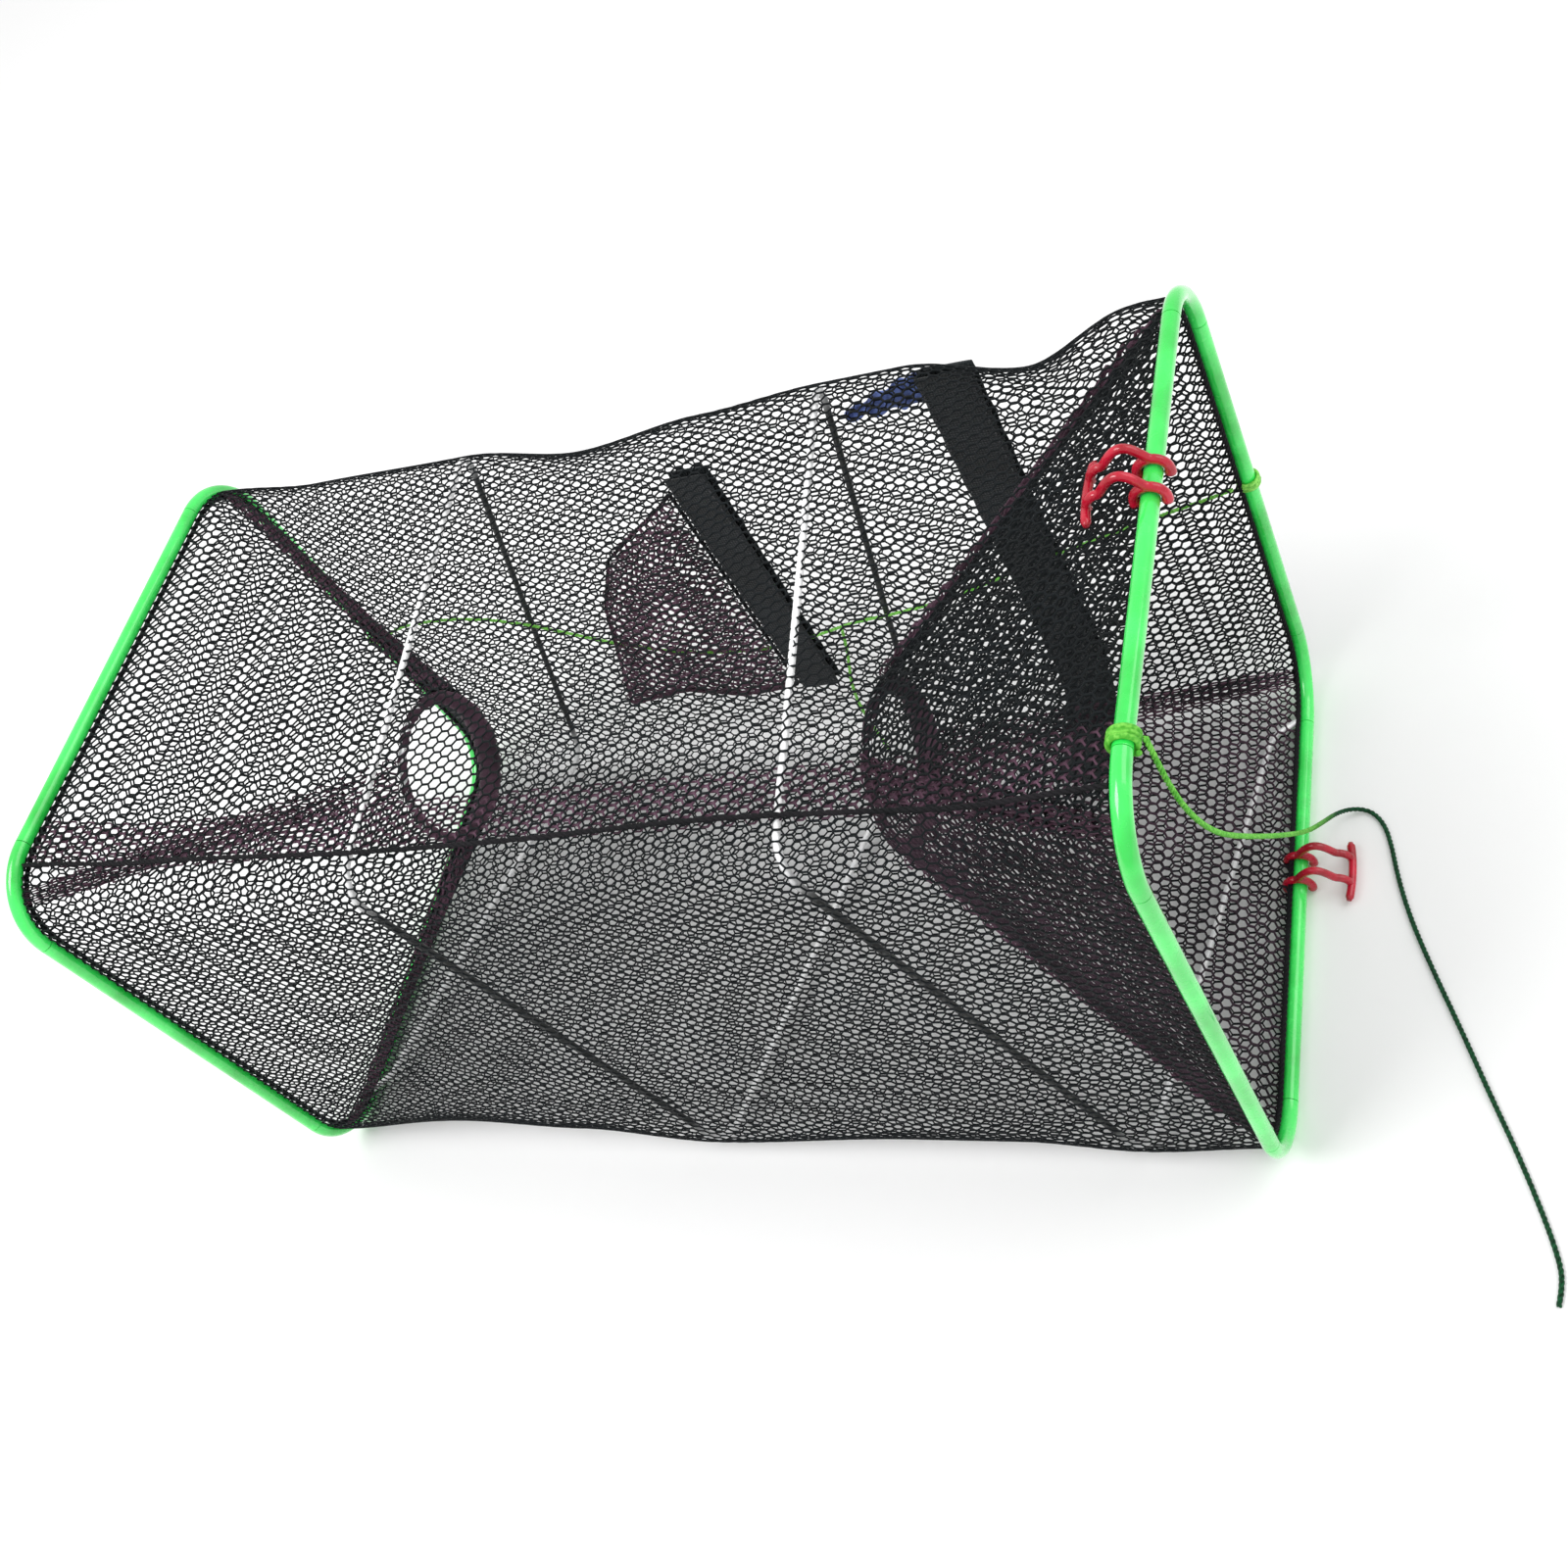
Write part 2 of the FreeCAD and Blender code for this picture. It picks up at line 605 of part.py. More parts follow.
haul_cord()
UP = FreeCAD.Vector(0, 0, 1)
ALONG = FreeCAD.Vector(0, 1, 0)
wraps("bait_line_left_knot", V(0, HALF, BAIT_LINE[0][2]), UP, "bait_line_diameter")
wraps("bait_line_right_knot", V(SPACING, HALF, BAIT_LINE[-1][2]), UP, "bait_line_diameter")
wraps("haul_cord_knot", V(SPACING, HAUL_CORD[0][1], HALF), ALONG, "haul_cord_diameter")
clip("top_clip", SPACING, size("clip_place"), HALF, -1, 1)
clip("bottom_clip", SPACING, size("clip_place"), -HALF, 1, 1)
DOC.recompute()

# ---------------------------------------------------------------- checks and export

for thing in DOC.Objects:
    if "Invalid" in thing.State or "Error" in thing.State:
        raise RuntimeError("%s failed: %s" % (thing.Label, thing.State))
for thing in NODES:
    if thing.Shape.isNull() or not thing.Shape.isValid():
        raise RuntimeError("%s has no valid shape" % thing.Label)
os.makedirs("parts", exist_ok=True)
for thing in NODES:
    thing.Shape.exportStep("parts/%s.step" % thing.Label)
print(len(NODES), "nodes written")
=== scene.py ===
import json
import math

import bpy
import numpy as np
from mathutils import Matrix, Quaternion, Vector


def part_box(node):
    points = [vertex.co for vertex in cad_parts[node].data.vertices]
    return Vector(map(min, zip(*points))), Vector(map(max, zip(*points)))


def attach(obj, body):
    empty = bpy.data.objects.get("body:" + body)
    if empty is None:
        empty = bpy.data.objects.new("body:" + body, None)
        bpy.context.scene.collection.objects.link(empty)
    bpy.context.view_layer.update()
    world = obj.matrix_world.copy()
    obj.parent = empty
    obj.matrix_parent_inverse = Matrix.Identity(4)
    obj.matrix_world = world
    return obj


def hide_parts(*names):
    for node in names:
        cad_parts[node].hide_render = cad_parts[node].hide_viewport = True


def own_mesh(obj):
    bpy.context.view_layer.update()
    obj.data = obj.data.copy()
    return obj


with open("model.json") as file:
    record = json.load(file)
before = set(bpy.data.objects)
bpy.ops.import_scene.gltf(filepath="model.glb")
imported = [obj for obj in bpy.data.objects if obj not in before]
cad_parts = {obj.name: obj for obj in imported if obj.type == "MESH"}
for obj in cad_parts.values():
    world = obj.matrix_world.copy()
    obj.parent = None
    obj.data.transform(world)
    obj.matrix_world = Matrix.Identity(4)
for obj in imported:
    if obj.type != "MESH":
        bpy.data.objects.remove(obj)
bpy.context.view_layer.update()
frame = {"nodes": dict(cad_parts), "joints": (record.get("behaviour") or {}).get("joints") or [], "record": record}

# Folding crab trap: a square net on a collapsing coil of spring wire, between two frames of wire in
# green tubing.  Metres.  "Stations" are distances along the trap from the plane of the left frame;
# "side" is the distance behind the trap's axis, and "rise" the height above it.

MM = 0.001
wire_low, wire_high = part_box("left_frame_wire")
right_wire_low, right_wire_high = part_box("right_frame_wire")
sleeve_low, sleeve_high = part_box("left_back_sleeve")
LEFT = (wire_low.x + wire_high.x) / 2
SPACING = (right_wire_low.x + right_wire_high.x) / 2 - LEFT
AXIS = (wire_low.z + wire_high.z) / 2
WIRE = (wire_high.x - wire_low.x) / 2
HALF = (wire_high.z - wire_low.z) / 2 - WIRE
SLEEVE = (sleeve_high.x - sleeve_low.x) / 2

JOINTS = {joint["name"]: joint for joint in frame["joints"]}
RATIOS = {c["joint"]: c["ratio"] for c in frame["record"]["behaviour"]["couplings"]}
FOLD = max(JOINTS["fold"]["range_m"])
NET_KEEP = (SPACING - FOLD) / SPACING


def at(station, side, rise):
    """Points from stations, sides and rises, given as numbers or as arrays."""
    return np.stack(np.broadcast_arrays(LEFT + station, side, AXIS + rise), axis=-1).astype(float)


def middle(node):
    """The station, side and rise of the middle of a CAD node's box."""
    low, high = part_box(node)
    centre = (low + high) / 2
    return centre.x - LEFT, centre.y, centre.z - AXIS


def new_object(name, data):
    thing = bpy.data.objects.new(name, data)
    bpy.context.scene.collection.objects.link(thing)
    return thing


# ---------------------------------------------------------------- camera and light

def add_camera():
    """The view is from in front of the right frame, above it, rolled clockwise."""
    data = bpy.data.cameras.new("camera")
    data.lens = 39.22
    data.sensor_width = 36
    camera = new_object("camera", data)
    place = Vector(at(0.5947, -0.3751, 0.5119))
    aim = Vector(at(0.2753, -0.0052, 0))
    roll = Quaternion((0, 0, 1), math.radians(-36.8))
    camera.rotation_mode = "QUATERNION"
    camera.location = place
    camera.rotation_quaternion = (aim - place).to_track_quat("-Z", "Y") @ roll
    bpy.context.scene.camera = camera


def add_light(name, place, aim, side, power):
    data = bpy.data.lights.new(name, "AREA")
    data.size = side
    data.energy = power
    light = new_object(name, data)
    light.location = place
    light.rotation_mode = "QUATERNION"
    light.rotation_quaternion = (Vector(aim) - Vector(place)).to_track_quat("-Z", "Y")


def add_studio():
    """A pale floor, a white surround and two large soft lights."""
    world = bpy.data.worlds.new("studio")
    bpy.context.scene.world = world
    world.use_nodes = True
    surround = world.node_tree.nodes["Background"]
    surround.inputs["Color"].default_value = (1, 1, 1, 1)
    surround.inputs["Strength"].default_value = 0.85
    centre = (0, 0, 0.1)
    add_light("key", (-0.9, -0.9, 2.1), centre, 1.2, 30)
    add_light("fill", (1.6, 0.6, 1.8), centre, 1.6, 14)
    bpy.context.scene.view_settings.view_transform = "Standard"
    reach = 8.0
    corners = np.array([(-reach, -reach, 0), (reach, -reach, 0), (reach, reach, 0), (-reach, reach, 0)])
    floor = add_mesh("floor", corners, np.array([[0, 1, 2, 3]]))
    floor.data.materials.append(pale_floor())


# ---------------------------------------------------------------- meshes

def add_mesh(name, points, *faces):
    """An object from an array of points and arrays of faces, one array for each number of corners."""
    mesh = bpy.data.meshes.new(name)
    mesh.vertices.add(len(points))
    mesh.vertices.foreach_set("co", np.asarray(points, np.float32).ravel())
    corners = np.concatenate([group.ravel() for group in faces]).astype(np.int32)
    counts = np.concatenate([np.full(len(group), group.shape[1]) for group in faces])
    starts = np.concatenate([[0], np.cumsum(counts)[:-1]]).astype(np.int32)
    mesh.loops.add(len(corners))
    mesh.loops.foreach_set("vertex_index", corners)
    mesh.polygons.add(len(counts))
    mesh.polygons.foreach_set("loop_start", starts)
    mesh.update(calc_edges=True)
    mesh.validate()
    mesh.shade_smooth()
    return new_object(name, mesh)


def grid_faces(rows, columns, round_rows=False):
    """Quads of a grid of rows of points; with round_rows each row is a closed ring."""
    row = np.arange(rows - 1)[:, None]
    column = np.arange(columns if round_rows else columns - 1)[None, :]
    here = row * columns + column
    beside = row * columns + (column + 1) % columns
    return np.stack([here, beside, beside + columns, here + columns], axis=-1).reshape(-1, 4)


def frames_along(path):
    """Unit tangents and two unit normals at each point: the first normal is carried along unturned."""
    tangent = np.gradient(path, axis=0)
    tangent /= np.linalg.norm(tangent, axis=1)[:, None]
    normal = np.cross(tangent[0], np.eye(3)[np.argmin(abs(tangent[0]))])
    normals = []
    for direction in tangent:
        normal = normal - (normal @ direction) * direction
        normal = normal / np.linalg.norm(normal)
        normals.append(normal)
    normals = np.array(normals)
    return tangent, normals, np.cross(tangent, normals)


def capped(rings, start, end, hand=1):
    """A skin over rings of points, closed by a pole at each end, as points, quads and triangles; hand
    is -1 if the rings turn the other way about the line from start to end."""
    rows, columns = rings.shape[:2]
    here = np.arange(columns)
    ahead = (here + 1) % columns
    last = (rows - 1) * columns
    pole = rows * columns
    tips = np.concatenate([np.stack([ahead, here, np.full(columns, pole)], axis=1),
                           np.stack([last + here, last + ahead, np.full(columns, pole + 1)], axis=1)])
    points = np.concatenate([rings.reshape(-1, 3), start, end])
    return points, grid_faces(rows, columns, True)[:, ::hand], tips[:, ::hand]


def tube_parts(path, radius, sides=8):
    """A ring of points round each point of the path, and a pole at each end."""
    _, normal, across = frames_along(path)
    turn = np.arange(sides) * 2 * math.pi / sides
    ring = np.cos(turn)[None, :, None] * normal[:, None] + np.sin(turn)[None, :, None] * across[:, None]
    radius = np.broadcast_to(radius, len(path))
    return capped(path[:, None] + ring * radius[:, None, None], path[:1], path[-1:])


def joined(name, parts):
    """One mesh from several lots of points, quads and triangles."""
    points, quads, tips, first = [], [], [], 0
    for some_points, some_quads, some_tips in parts:
        points.append(some_points)
        quads.append(some_quads + first)
        tips.append(some_tips + first)
        first += len(some_points)
    return add_mesh(name, np.concatenate(points), np.concatenate(quads), np.concatenate(tips))


def eased(place, stops):
    """A value that passes through the stops (place, value) and is level at each of them."""
    places = np.array([stop[0] for stop in stops])
    values = np.array([stop[1] for stop in stops])
    place = np.clip(place, places[0], places[-1])
    span = np.clip(np.searchsorted(places, place, side="right") - 1, 0, len(places) - 2)
    share = (place - places[span]) / (places[span + 1] - places[span])
    return values[span] + (values[span + 1] - values[span]) * share * share * (3 - 2 * share)


# ---------------------------------------------------------------- materials

def new_material(name, colour, roughness):
    """A material with its node tree, links and shader, ready for its own pattern."""
    material = bpy.data.materials.new(name)
    material.use_nodes = True
    tree = material.node_tree
    shader = tree.nodes["Principled BSDF"]
    shader.inputs["Base Color"].default_value = (*colour, 1)
    shader.inputs["Roughness"].default_value = roughness
    return material, tree, shader


def object_pattern(tree):
    """Object coordinates, which are the part's own, because every new piece has its origin there."""
    return tree.nodes.new("ShaderNodeTexCoord").outputs["Object"]


def noise(tree, vector, scale, detail=3.0):
    texture = tree.nodes.new("ShaderNodeTexNoise")
    texture.inputs["Scale"].default_value = scale
    texture.inputs["Detail"].default_value = detail
    tree.links.new(vector, texture.inputs["Vector"])
    return texture.outputs["Fac"]


def bands(tree, vector, scale, direction, distortion=0.0):
    texture = tree.nodes.new("ShaderNodeTexWave")
    texture.bands_direction = direction
    texture.inputs["Scale"].default_value = scale
    texture.inputs["Distortion"].default_value = distortion
    tree.links.new(vector, texture.inputs["Vector"])
    return texture.outputs["Fac"]


def between(tree, fac, low, high, start=0.0, end=1.0):
    """A colour or grey from low to high as fac goes from start to end."""
    ramp = tree.nodes.new("ShaderNodeValToRGB")
    ramp.color_ramp.elements[0].position = start
    ramp.color_ramp.elements[1].position = end
    ramp.color_ramp.elements[0].color = (*low, 1)
    ramp.color_ramp.elements[1].color = (*high, 1)
    tree.links.new(fac, ramp.inputs["Fac"])
    return ramp.outputs["Color"]


def one_way(tree, vector, axis):
    """The X, Y or Z of a vector."""
    split = tree.nodes.new("ShaderNodeSeparateXYZ")
    tree.links.new(vector, split.inputs["Vector"])
    return split.outputs[axis]


def worked_out(tree, operation, first, second=None):
    """A sum on one output, or on two."""
    node = tree.nodes.new("ShaderNodeMath")
    node.operation = operation
    tree.links.new(first, node.inputs[0])
    if second is not None:
        tree.links.new(second, node.inputs[1])
    return node.outputs[0]


def changing(tree, distance, first, last, before, after):
    """A colour that goes from one to the other as a distance goes from first to last."""
    spread = tree.nodes.new("ShaderNodeMapRange")
    spread.inputs["From Min"].default_value = first
    spread.inputs["From Max"].default_value = last
    tree.links.new(distance, spread.inputs["Value"])
    mix = tree.nodes.new("ShaderNodeMix")
    mix.data_type = "RGBA"
    tree.links.new(spread.outputs["Result"], mix.inputs["Factor"])
    tree.links.new(before, mix.inputs["A"])
    tree.links.new(after, mix.inputs["B"])
    return mix.outputs["Result"]


def grey(value):
    return (value, value, value)


def bumped(tree, shader, height, distance, strength=1.0):
    bump = tree.nodes.new("ShaderNodeBump")
    bump.inputs["Distance"].default_value = distance
    bump.inputs["Strength"].default_value = strength
    tree.links.new(height, bump.inputs["Height"])
    tree.links.new(bump.outputs["Normal"], shader.inputs["Normal"])


def pale_floor():
    material, _, shader = new_material("pale_floor", grey(0.93), 0.9)
    shader.inputs["Specular IOR Level"].default_value = 0.1
    return material


def green_tubing():
    """Vivid soft PVC: glossy, with slow dents along it and a little dirt in its deeper green."""
    material, tree, shader = new_material("green_tubing", (0.03, 0.8, 0.09), 0.22)
    where = object_pattern(tree)
    cloud = noise(tree, where, 38)
    colour = between(tree, cloud, (0.012, 0.55, 0.05), (0.045, 0.9, 0.13), 0.3, 0.62)
    tree.links.new(colour, shader.inputs["Base Color"])
    wear = noise(tree, where, 240, 6)
    tree.links.new(between(tree, wear, grey(0.14), grey(0.42), 0.35, 0.75), shader.inputs["Roughness"])
    bumped(tree, shader, cloud, 1.2 * MM, 0.5)
    shader.inputs["Coat Weight"].default_value = 1.0
    shader.inputs["Coat Roughness"].default_value = 0.03
    shader.inputs["Subsurface Weight"].default_value = 0.12
    shader.inputs["Subsurface Radius"].default_value = (0.002, 0.006, 0.002)
    return material


def zinc_wire():
    """Galvanised spring wire: bright metal with drawn streaks and duller spangle."""
    material, tree, shader = new_material("zinc_wire", (0.8, 0.81, 0.82), 0.32)
    where = object_pattern(tree)
    spangle = noise(tree, where, 420, 4)
    tree.links.new(between(tree, spangle, (0.55, 0.57, 0.58), (0.92, 0.93, 0.93), 0.35, 0.6),
                   shader.inputs["Base Color"])
    tree.links.new(between(tree, spangle, grey(0.45), grey(0.22), 0.3, 0.7), shader.inputs["Roughness"])
    bumped(tree, shader, noise(tree, where, 900, 2), 0.05 * MM)
    shader.inputs["Metallic"].default_value = 0.9
    return material


def spring_wire():
    """Bright zinc along the top and bottom, and painted shade where it runs up and down: a lit and a shaded copy
    of the wire, set by height.
    """
    material, tree, shader = new_material("spring_wire", (0.9, 0.91, 0.92), 0.35)
    where = object_pattern(tree)
    lowered = tree.nodes.new("ShaderNodeMath")
    lowered.operation = "SUBTRACT"
    lowered.inputs[1].default_value = AXIS
    tree.links.new(one_way(tree, where, "Z"), lowered.inputs[0])
    apart = worked_out(tree, "ABSOLUTE", lowered.outputs[0])
    worn = noise(tree, where, 300, 4)
    # Painted shade: near black where the wire runs up and down, bright zinc near the top and bottom.
    painted_shade = between(tree, worn, (0.012, 0.014, 0.014), (0.05, 0.052, 0.05), 0.4, 0.7)
    zinc = between(tree, worn, (0.93, 0.94, 0.95), (1.0, 1.0, 1.0), 0.35, 0.6)
    colour = changing(tree, apart, HALF - 30 * MM, HALF - 12 * MM, painted_shade, zinc)
    tree.links.new(colour, shader.inputs["Base Color"])
    tree.links.new(between(tree, worn, grey(0.5), grey(0.25), 0.3, 0.7), shader.inputs["Roughness"])
    bumped(tree, shader, worn, 0.05 * MM)
    shader.inputs["Metallic"].default_value = 0.1
    return material


def twine(name, dark, pale, sheen):
    """Plied net twine: fine twisted ridges, with darker and paler stretches."""
    material, tree, shader = new_material(name, dark, 0.62)
    where = object_pattern(tree)
    patch = noise(tree, where, 30, 5)
    tree.links.new(between(tree, patch, dark, pale, 0.35, 0.68), shader.inputs["Base Color"])
    tree.links.new(between(tree, patch, grey(0.5), grey(0.78), 0.3, 0.7), shader.inputs["Roughness"])
    ply = bands(tree, where, 900, "DIAGONAL", 1.5)
    bumped(tree, shader, ply, 0.12 * MM, 0.8)
    shader.inputs["Sheen Weight"].default_value = sheen
    shader.inputs["Sheen Roughness"].default_value = 0.4
    shader.inputs["Specular IOR Level"].default_value = 0.2
    return material


def black_netting():
    return twine("black_netting", (0.001, 0.003, 0.004), (0.006, 0.009, 0.011), 0.0)


def worn_netting():
    return twine("worn_netting", (0.008, 0.005, 0.008), (0.06, 0.034, 0.05), 0.02)


def brown_netting():
    return twine("brown_netting", (0.05, 0.022, 0.036), (0.17, 0.085, 0.13), 0.05)


def net_rope():
    return twine("net_rope", (0.002, 0.003, 0.004), (0.014, 0.012, 0.015), 0.02)


def gathered_net():
    return twine("gathered_net", (0.02, 0.012, 0.018), (0.12, 0.06, 0.09), 0.05)


def woven_tape(name, dark, pale, nap):
    """Narrow woven tape: crossed ribs under a nap of hooks or brushed loops."""
    material, tree, shader = new_material(name, dark, 0.75)
    where = object_pattern(tree)
    fuzz = noise(tree, where, nap, 5)
    tree.links.new(between(tree, noise(tree, where, 55, 4), dark, pale, 0.38, 0.7),
                   shader.inputs["Base Color"])
    tree.links.new(between(tree, fuzz, grey(0.55), grey(0.9), 0.3, 0.7), shader.inputs["Roughness"])
    ribs = worked_out(tree, "MULTIPLY", bands(tree, where, 260, "X"), bands(tree, where, 260, "Z"))
    bumped(tree, shader, worked_out(tree, "ADD", ribs, fuzz), 0.35 * MM, 0.9)
    shader.inputs["Sheen Weight"].default_value = 0.12
    shader.inputs["Sheen Roughness"].default_value = 0.5
    return material


def hook_tape():
    return woven_tape("hook_tape", (0.003, 0.005, 0.006), (0.009, 0.014, 0.018), 1400)


def loop_tape():
    return woven_tape("loop_tape", (0.002, 0.006, 0.008), (0.006, 0.016, 0.02), 700)


def blue_ribbon():
    """Crinkled grosgrain ribbon in slate blue, with paler patches painted on as highlights."""
    material, tree, shader = new_material("blue_ribbon", (0.06, 0.1, 0.34), 0.55)
    where = object_pattern(tree)
    # Painted highlights: paler blue patches from a noise stand for glints on the crinkles.
    painted_glints = noise(tree, where, 160, 4)
    tree.links.new(between(tree, painted_glints, (0.05, 0.085, 0.3), (0.2, 0.3, 0.75), 0.35, 0.68),
                   shader.inputs["Base Color"])
    bumped(tree, shader, bands(tree, where, 420, "X", 0.6), 0.15 * MM, 0.6)
    shader.inputs["Sheen Weight"].default_value = 0.2
    return material


def braided(name, dark, pale, stitches):
    """Braided line: light and dark picks that cross along it."""
    material, tree, shader = new_material(name, dark, 0.5)
    where = object_pattern(tree)
    picks = noise(tree, where, stitches, 2)
    tree.links.new(between(tree, picks, dark, pale, 0.4, 0.6), shader.inputs["Base Color"])
    bumped(tree, shader, picks, 0.2 * MM, 0.8)
    shader.inputs["Sheen Weight"].default_value = 0.1
    return material


def lime_line():
    return braided("lime_line", (0.12, 0.5, 0.04), (0.3, 0.8, 0.12), 900)


def green_cord():
    """Braided cord: bleached lime inside the mouth, dark green from the mouth's edge on."""
    material, tree, shader = new_material("green_cord", (0.006, 0.1, 0.03), 0.6)
    where = object_pattern(tree)
    picks = noise(tree, where, 700, 2)
    lime = between(tree, picks, (0.08, 0.42, 0.03), (0.2, 0.62, 0.08), 0.4, 0.6)
    dark = between(tree, picks, (0.001, 0.03, 0.009), (0.004, 0.08, 0.025), 0.4, 0.6)
    along = one_way(tree, where, "X")
    colour = changing(tree, along, LEFT + 470 * MM, LEFT + 476 * MM, lime, dark)
    tree.links.new(colour, shader.inputs["Base Color"])
    bumped(tree, shader, picks, 0.2 * MM, 0.8)
    shader.inputs["Specular IOR Level"].default_value = 0.25
    return material


def red_plastic():
    """Moulded crimson plastic: glossy, with faint flow marks and scuffs."""
    material, tree, shader = new_material("red_plastic", (0.5, 0.003, 0.02), 0.2)
    where = object_pattern(tree)
    marks = noise(tree, where, 130, 5)
    tree.links.new(between(tree, marks, (0.34, 0.002, 0.012), (0.6, 0.005, 0.035), 0.35, 0.68),
                   shader.inputs["Base Color"])
    tree.links.new(between(tree, noise(tree, where, 600, 4), grey(0.12), grey(0.38), 0.4, 0.75),
                   shader.inputs["Roughness"])
    bumped(tree, shader, marks, 0.2 * MM, 0.4)
    shader.inputs["Coat Weight"].default_value = 0.3
    return material


def stitch_thread():
    return braided("stitch_thread", (0.02, 0.022, 0.025), (0.09, 0.09, 0.1), 1500)


MATERIALS = {}


def dress(thing, make):
    """Gives a piece its material, made once."""
    if make.__name__ not in MATERIALS:
        MATERIALS[make.__name__] = make()
    thing.data.materials.clear()
    thing.data.materials.append(MATERIALS[make.__name__])
    return thing


def fit(piece, make, body, node=None):
    """A piece's material, the body that carries it, and the CAD node that it stands for."""
    dress(piece, make)
    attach(piece, body)
    if node:
        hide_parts(node)


def press(piece, anchor=at(0, 0, 0), keep=NET_KEEP):
    """Gives the piece its own copy of its mesh. The anchor and keep are not used."""
    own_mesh(piece)


# ---------------------------------------------------------------- cords

BAIT_LINE_THICK = 1.6 * MM
HAUL_CORD_THICK = 2.0 * MM
# Stations, distances in from the plane of the frames' back bars and rises along the bait line, in mm.
BAIT_LINE = ((5.8, 3.6, -10), (20, 6.4, -1), (40, 9.6, 5), (68, 12.2, 7), (98, 13.6, 1), (122, 12, -15),
             (142, 10.1, -30), (172, 9.9, -43), (204, 9.9, -48), (232, 9.8, -47.5), (252, 9.9, -41.5),
             (272, 11.4, -35), (291, 13.6, -31), (320, 12, -28), (345, 10, -21), (368, 9.8, -13),
             (394, 9.9, -5), (422, 8.8, 2), (445, 5.8, 5), (454.1, 3.8, 6))
BAIT_TAIL = ((262, 10.8, -39.7), (259.5, 11.6, -52), (255, 12.4, -66), (250.5, 12.8, -80),
             (249, 13.8, -94), (250.5, 16.4, -104), (255, 22, -110), (261, 30, -111))
# Stations, sides and heights above the floor along the haul cord, in mm.
HAUL_CORD = ((466.4, -87, 245.3), (467, -88, 222), (467.7, -82, 194), (468.2, -70, 166), (468.8, -54, 139),
             (469, -34, 107), (469.6, -12, 73), (470.6, 9, 42), (472.4, 26, 22), (475.5, 38, 10),
             (481, 44.5, 3), (488, 44, 1.05), (493.5, 37, 1.05), (496.5, 26, 1.05), (499, 11, 1.05),
             (504, -9, 1.05), (512.5, -33, 1.05), (523, -60, 1.05), (532.5, -86, 1.05), (541, -108, 1.05),
             (548.5, -130, 1.05), (553.5, -147, 1.05), (554.8, -157, 1.05), (553, -165, 1.05))


def smooth_route(points):
    """Points read along the order-3 NURBS curve that has these control points."""
    curve = bpy.data.curves.new("route", "CURVE")
    curve.dimensions = "3D"
    curve.resolution_u = 14
    spline = curve.splines.new("NURBS")
    spline.points.add(len(points) - 1)
    weighted = np.concatenate([points, np.ones((len(points), 1))], axis=1)
    spline.points.foreach_set("co", weighted.astype(np.float32).ravel())
    spline.order_u = 3
    spline.use_endpoint_u = True
    holder = new_object("route", curve)
    bpy.context.view_layer.update()
    mesh = bpy.data.meshes.new_from_object(holder)
    read = np.zeros(len(mesh.vertices) * 3, np.float32)
    mesh.vertices.foreach_get("co", read)
    bpy.data.objects.remove(holder)
    bpy.data.meshes.remove(mesh)
    return read.reshape(-1, 3).astype(float)


def distances(path):
    """How far along a line each of its points lies."""
    return np.concatenate([[0], np.cumsum(np.linalg.norm(np.diff(path, axis=0), axis=1))])


def resampled(path, step):
    """The same line with points a step apart."""
    along = distances(path)
    wanted = np.linspace(0, along[-1], max(8, int(along[-1] / step)))
    return np.stack([np.interp(wanted, along, path[:, k]) for k in range(3)], axis=1)


def laid_rope(name, path, diameter, strands=3, lay=3.2):
    """Strands that turn about the path once every `lay` diameters: a strand's middle is at
    path + offset * (normal cos a + across sin a), with a growing evenly along the path."""
    path = resampled(path, diameter * 0.32)
    _, normal, across = frames_along(path)
    along = distances(path)
    strand = diameter / 2 / (1 + 1 / math.sin(math.pi / strands))
    offset = diameter / 2 - strand
    parts = []
    for which in range(strands):
        turn = along / (lay * diameter) * 2 * math.pi + which * 2 * math.pi / strands
        line = path + offset * (np.cos(turn)[:, None] * normal + np.sin(turn)[:, None] * across)
        parts.append(tube_parts(line, strand * 1.08, 6))
    return joined(name, parts)


def back_route(stops):
    """Points inside the back face from stations, distances in from the back bars and rises, in mm."""
    station, inset, rise = np.array(stops, float).T * MM
    return at(station, HALF - inset, rise)


def add_bait_line():
    """The line inside the back face, from frame to frame, and the end that hangs from it."""
    for node, stops, far_end, lay in (("bait_line", BAIT_LINE, "object", "taut"),
                                      ("bait_line_tail", BAIT_TAIL, "bare", "hanging")):
        path = smooth_route(back_route(stops))
        line = laid_rope(node + "_strands", path, BAIT_LINE_THICK)
        fit(line, lime_line, "left_end", node)
        press(line)


def add_haul_cord():
    """The cord that hangs down the outside of the right mouth and lies on the floor."""
    station, side, height = np.array(HAUL_CORD, float).T * MM
    path = smooth_route(np.stack([LEFT + station, side, height], axis=1))
    cord = laid_rope("haul_cord_strands", path, HAUL_CORD_THICK)
    fit(cord, green_cord, "right_end", "haul_cord")


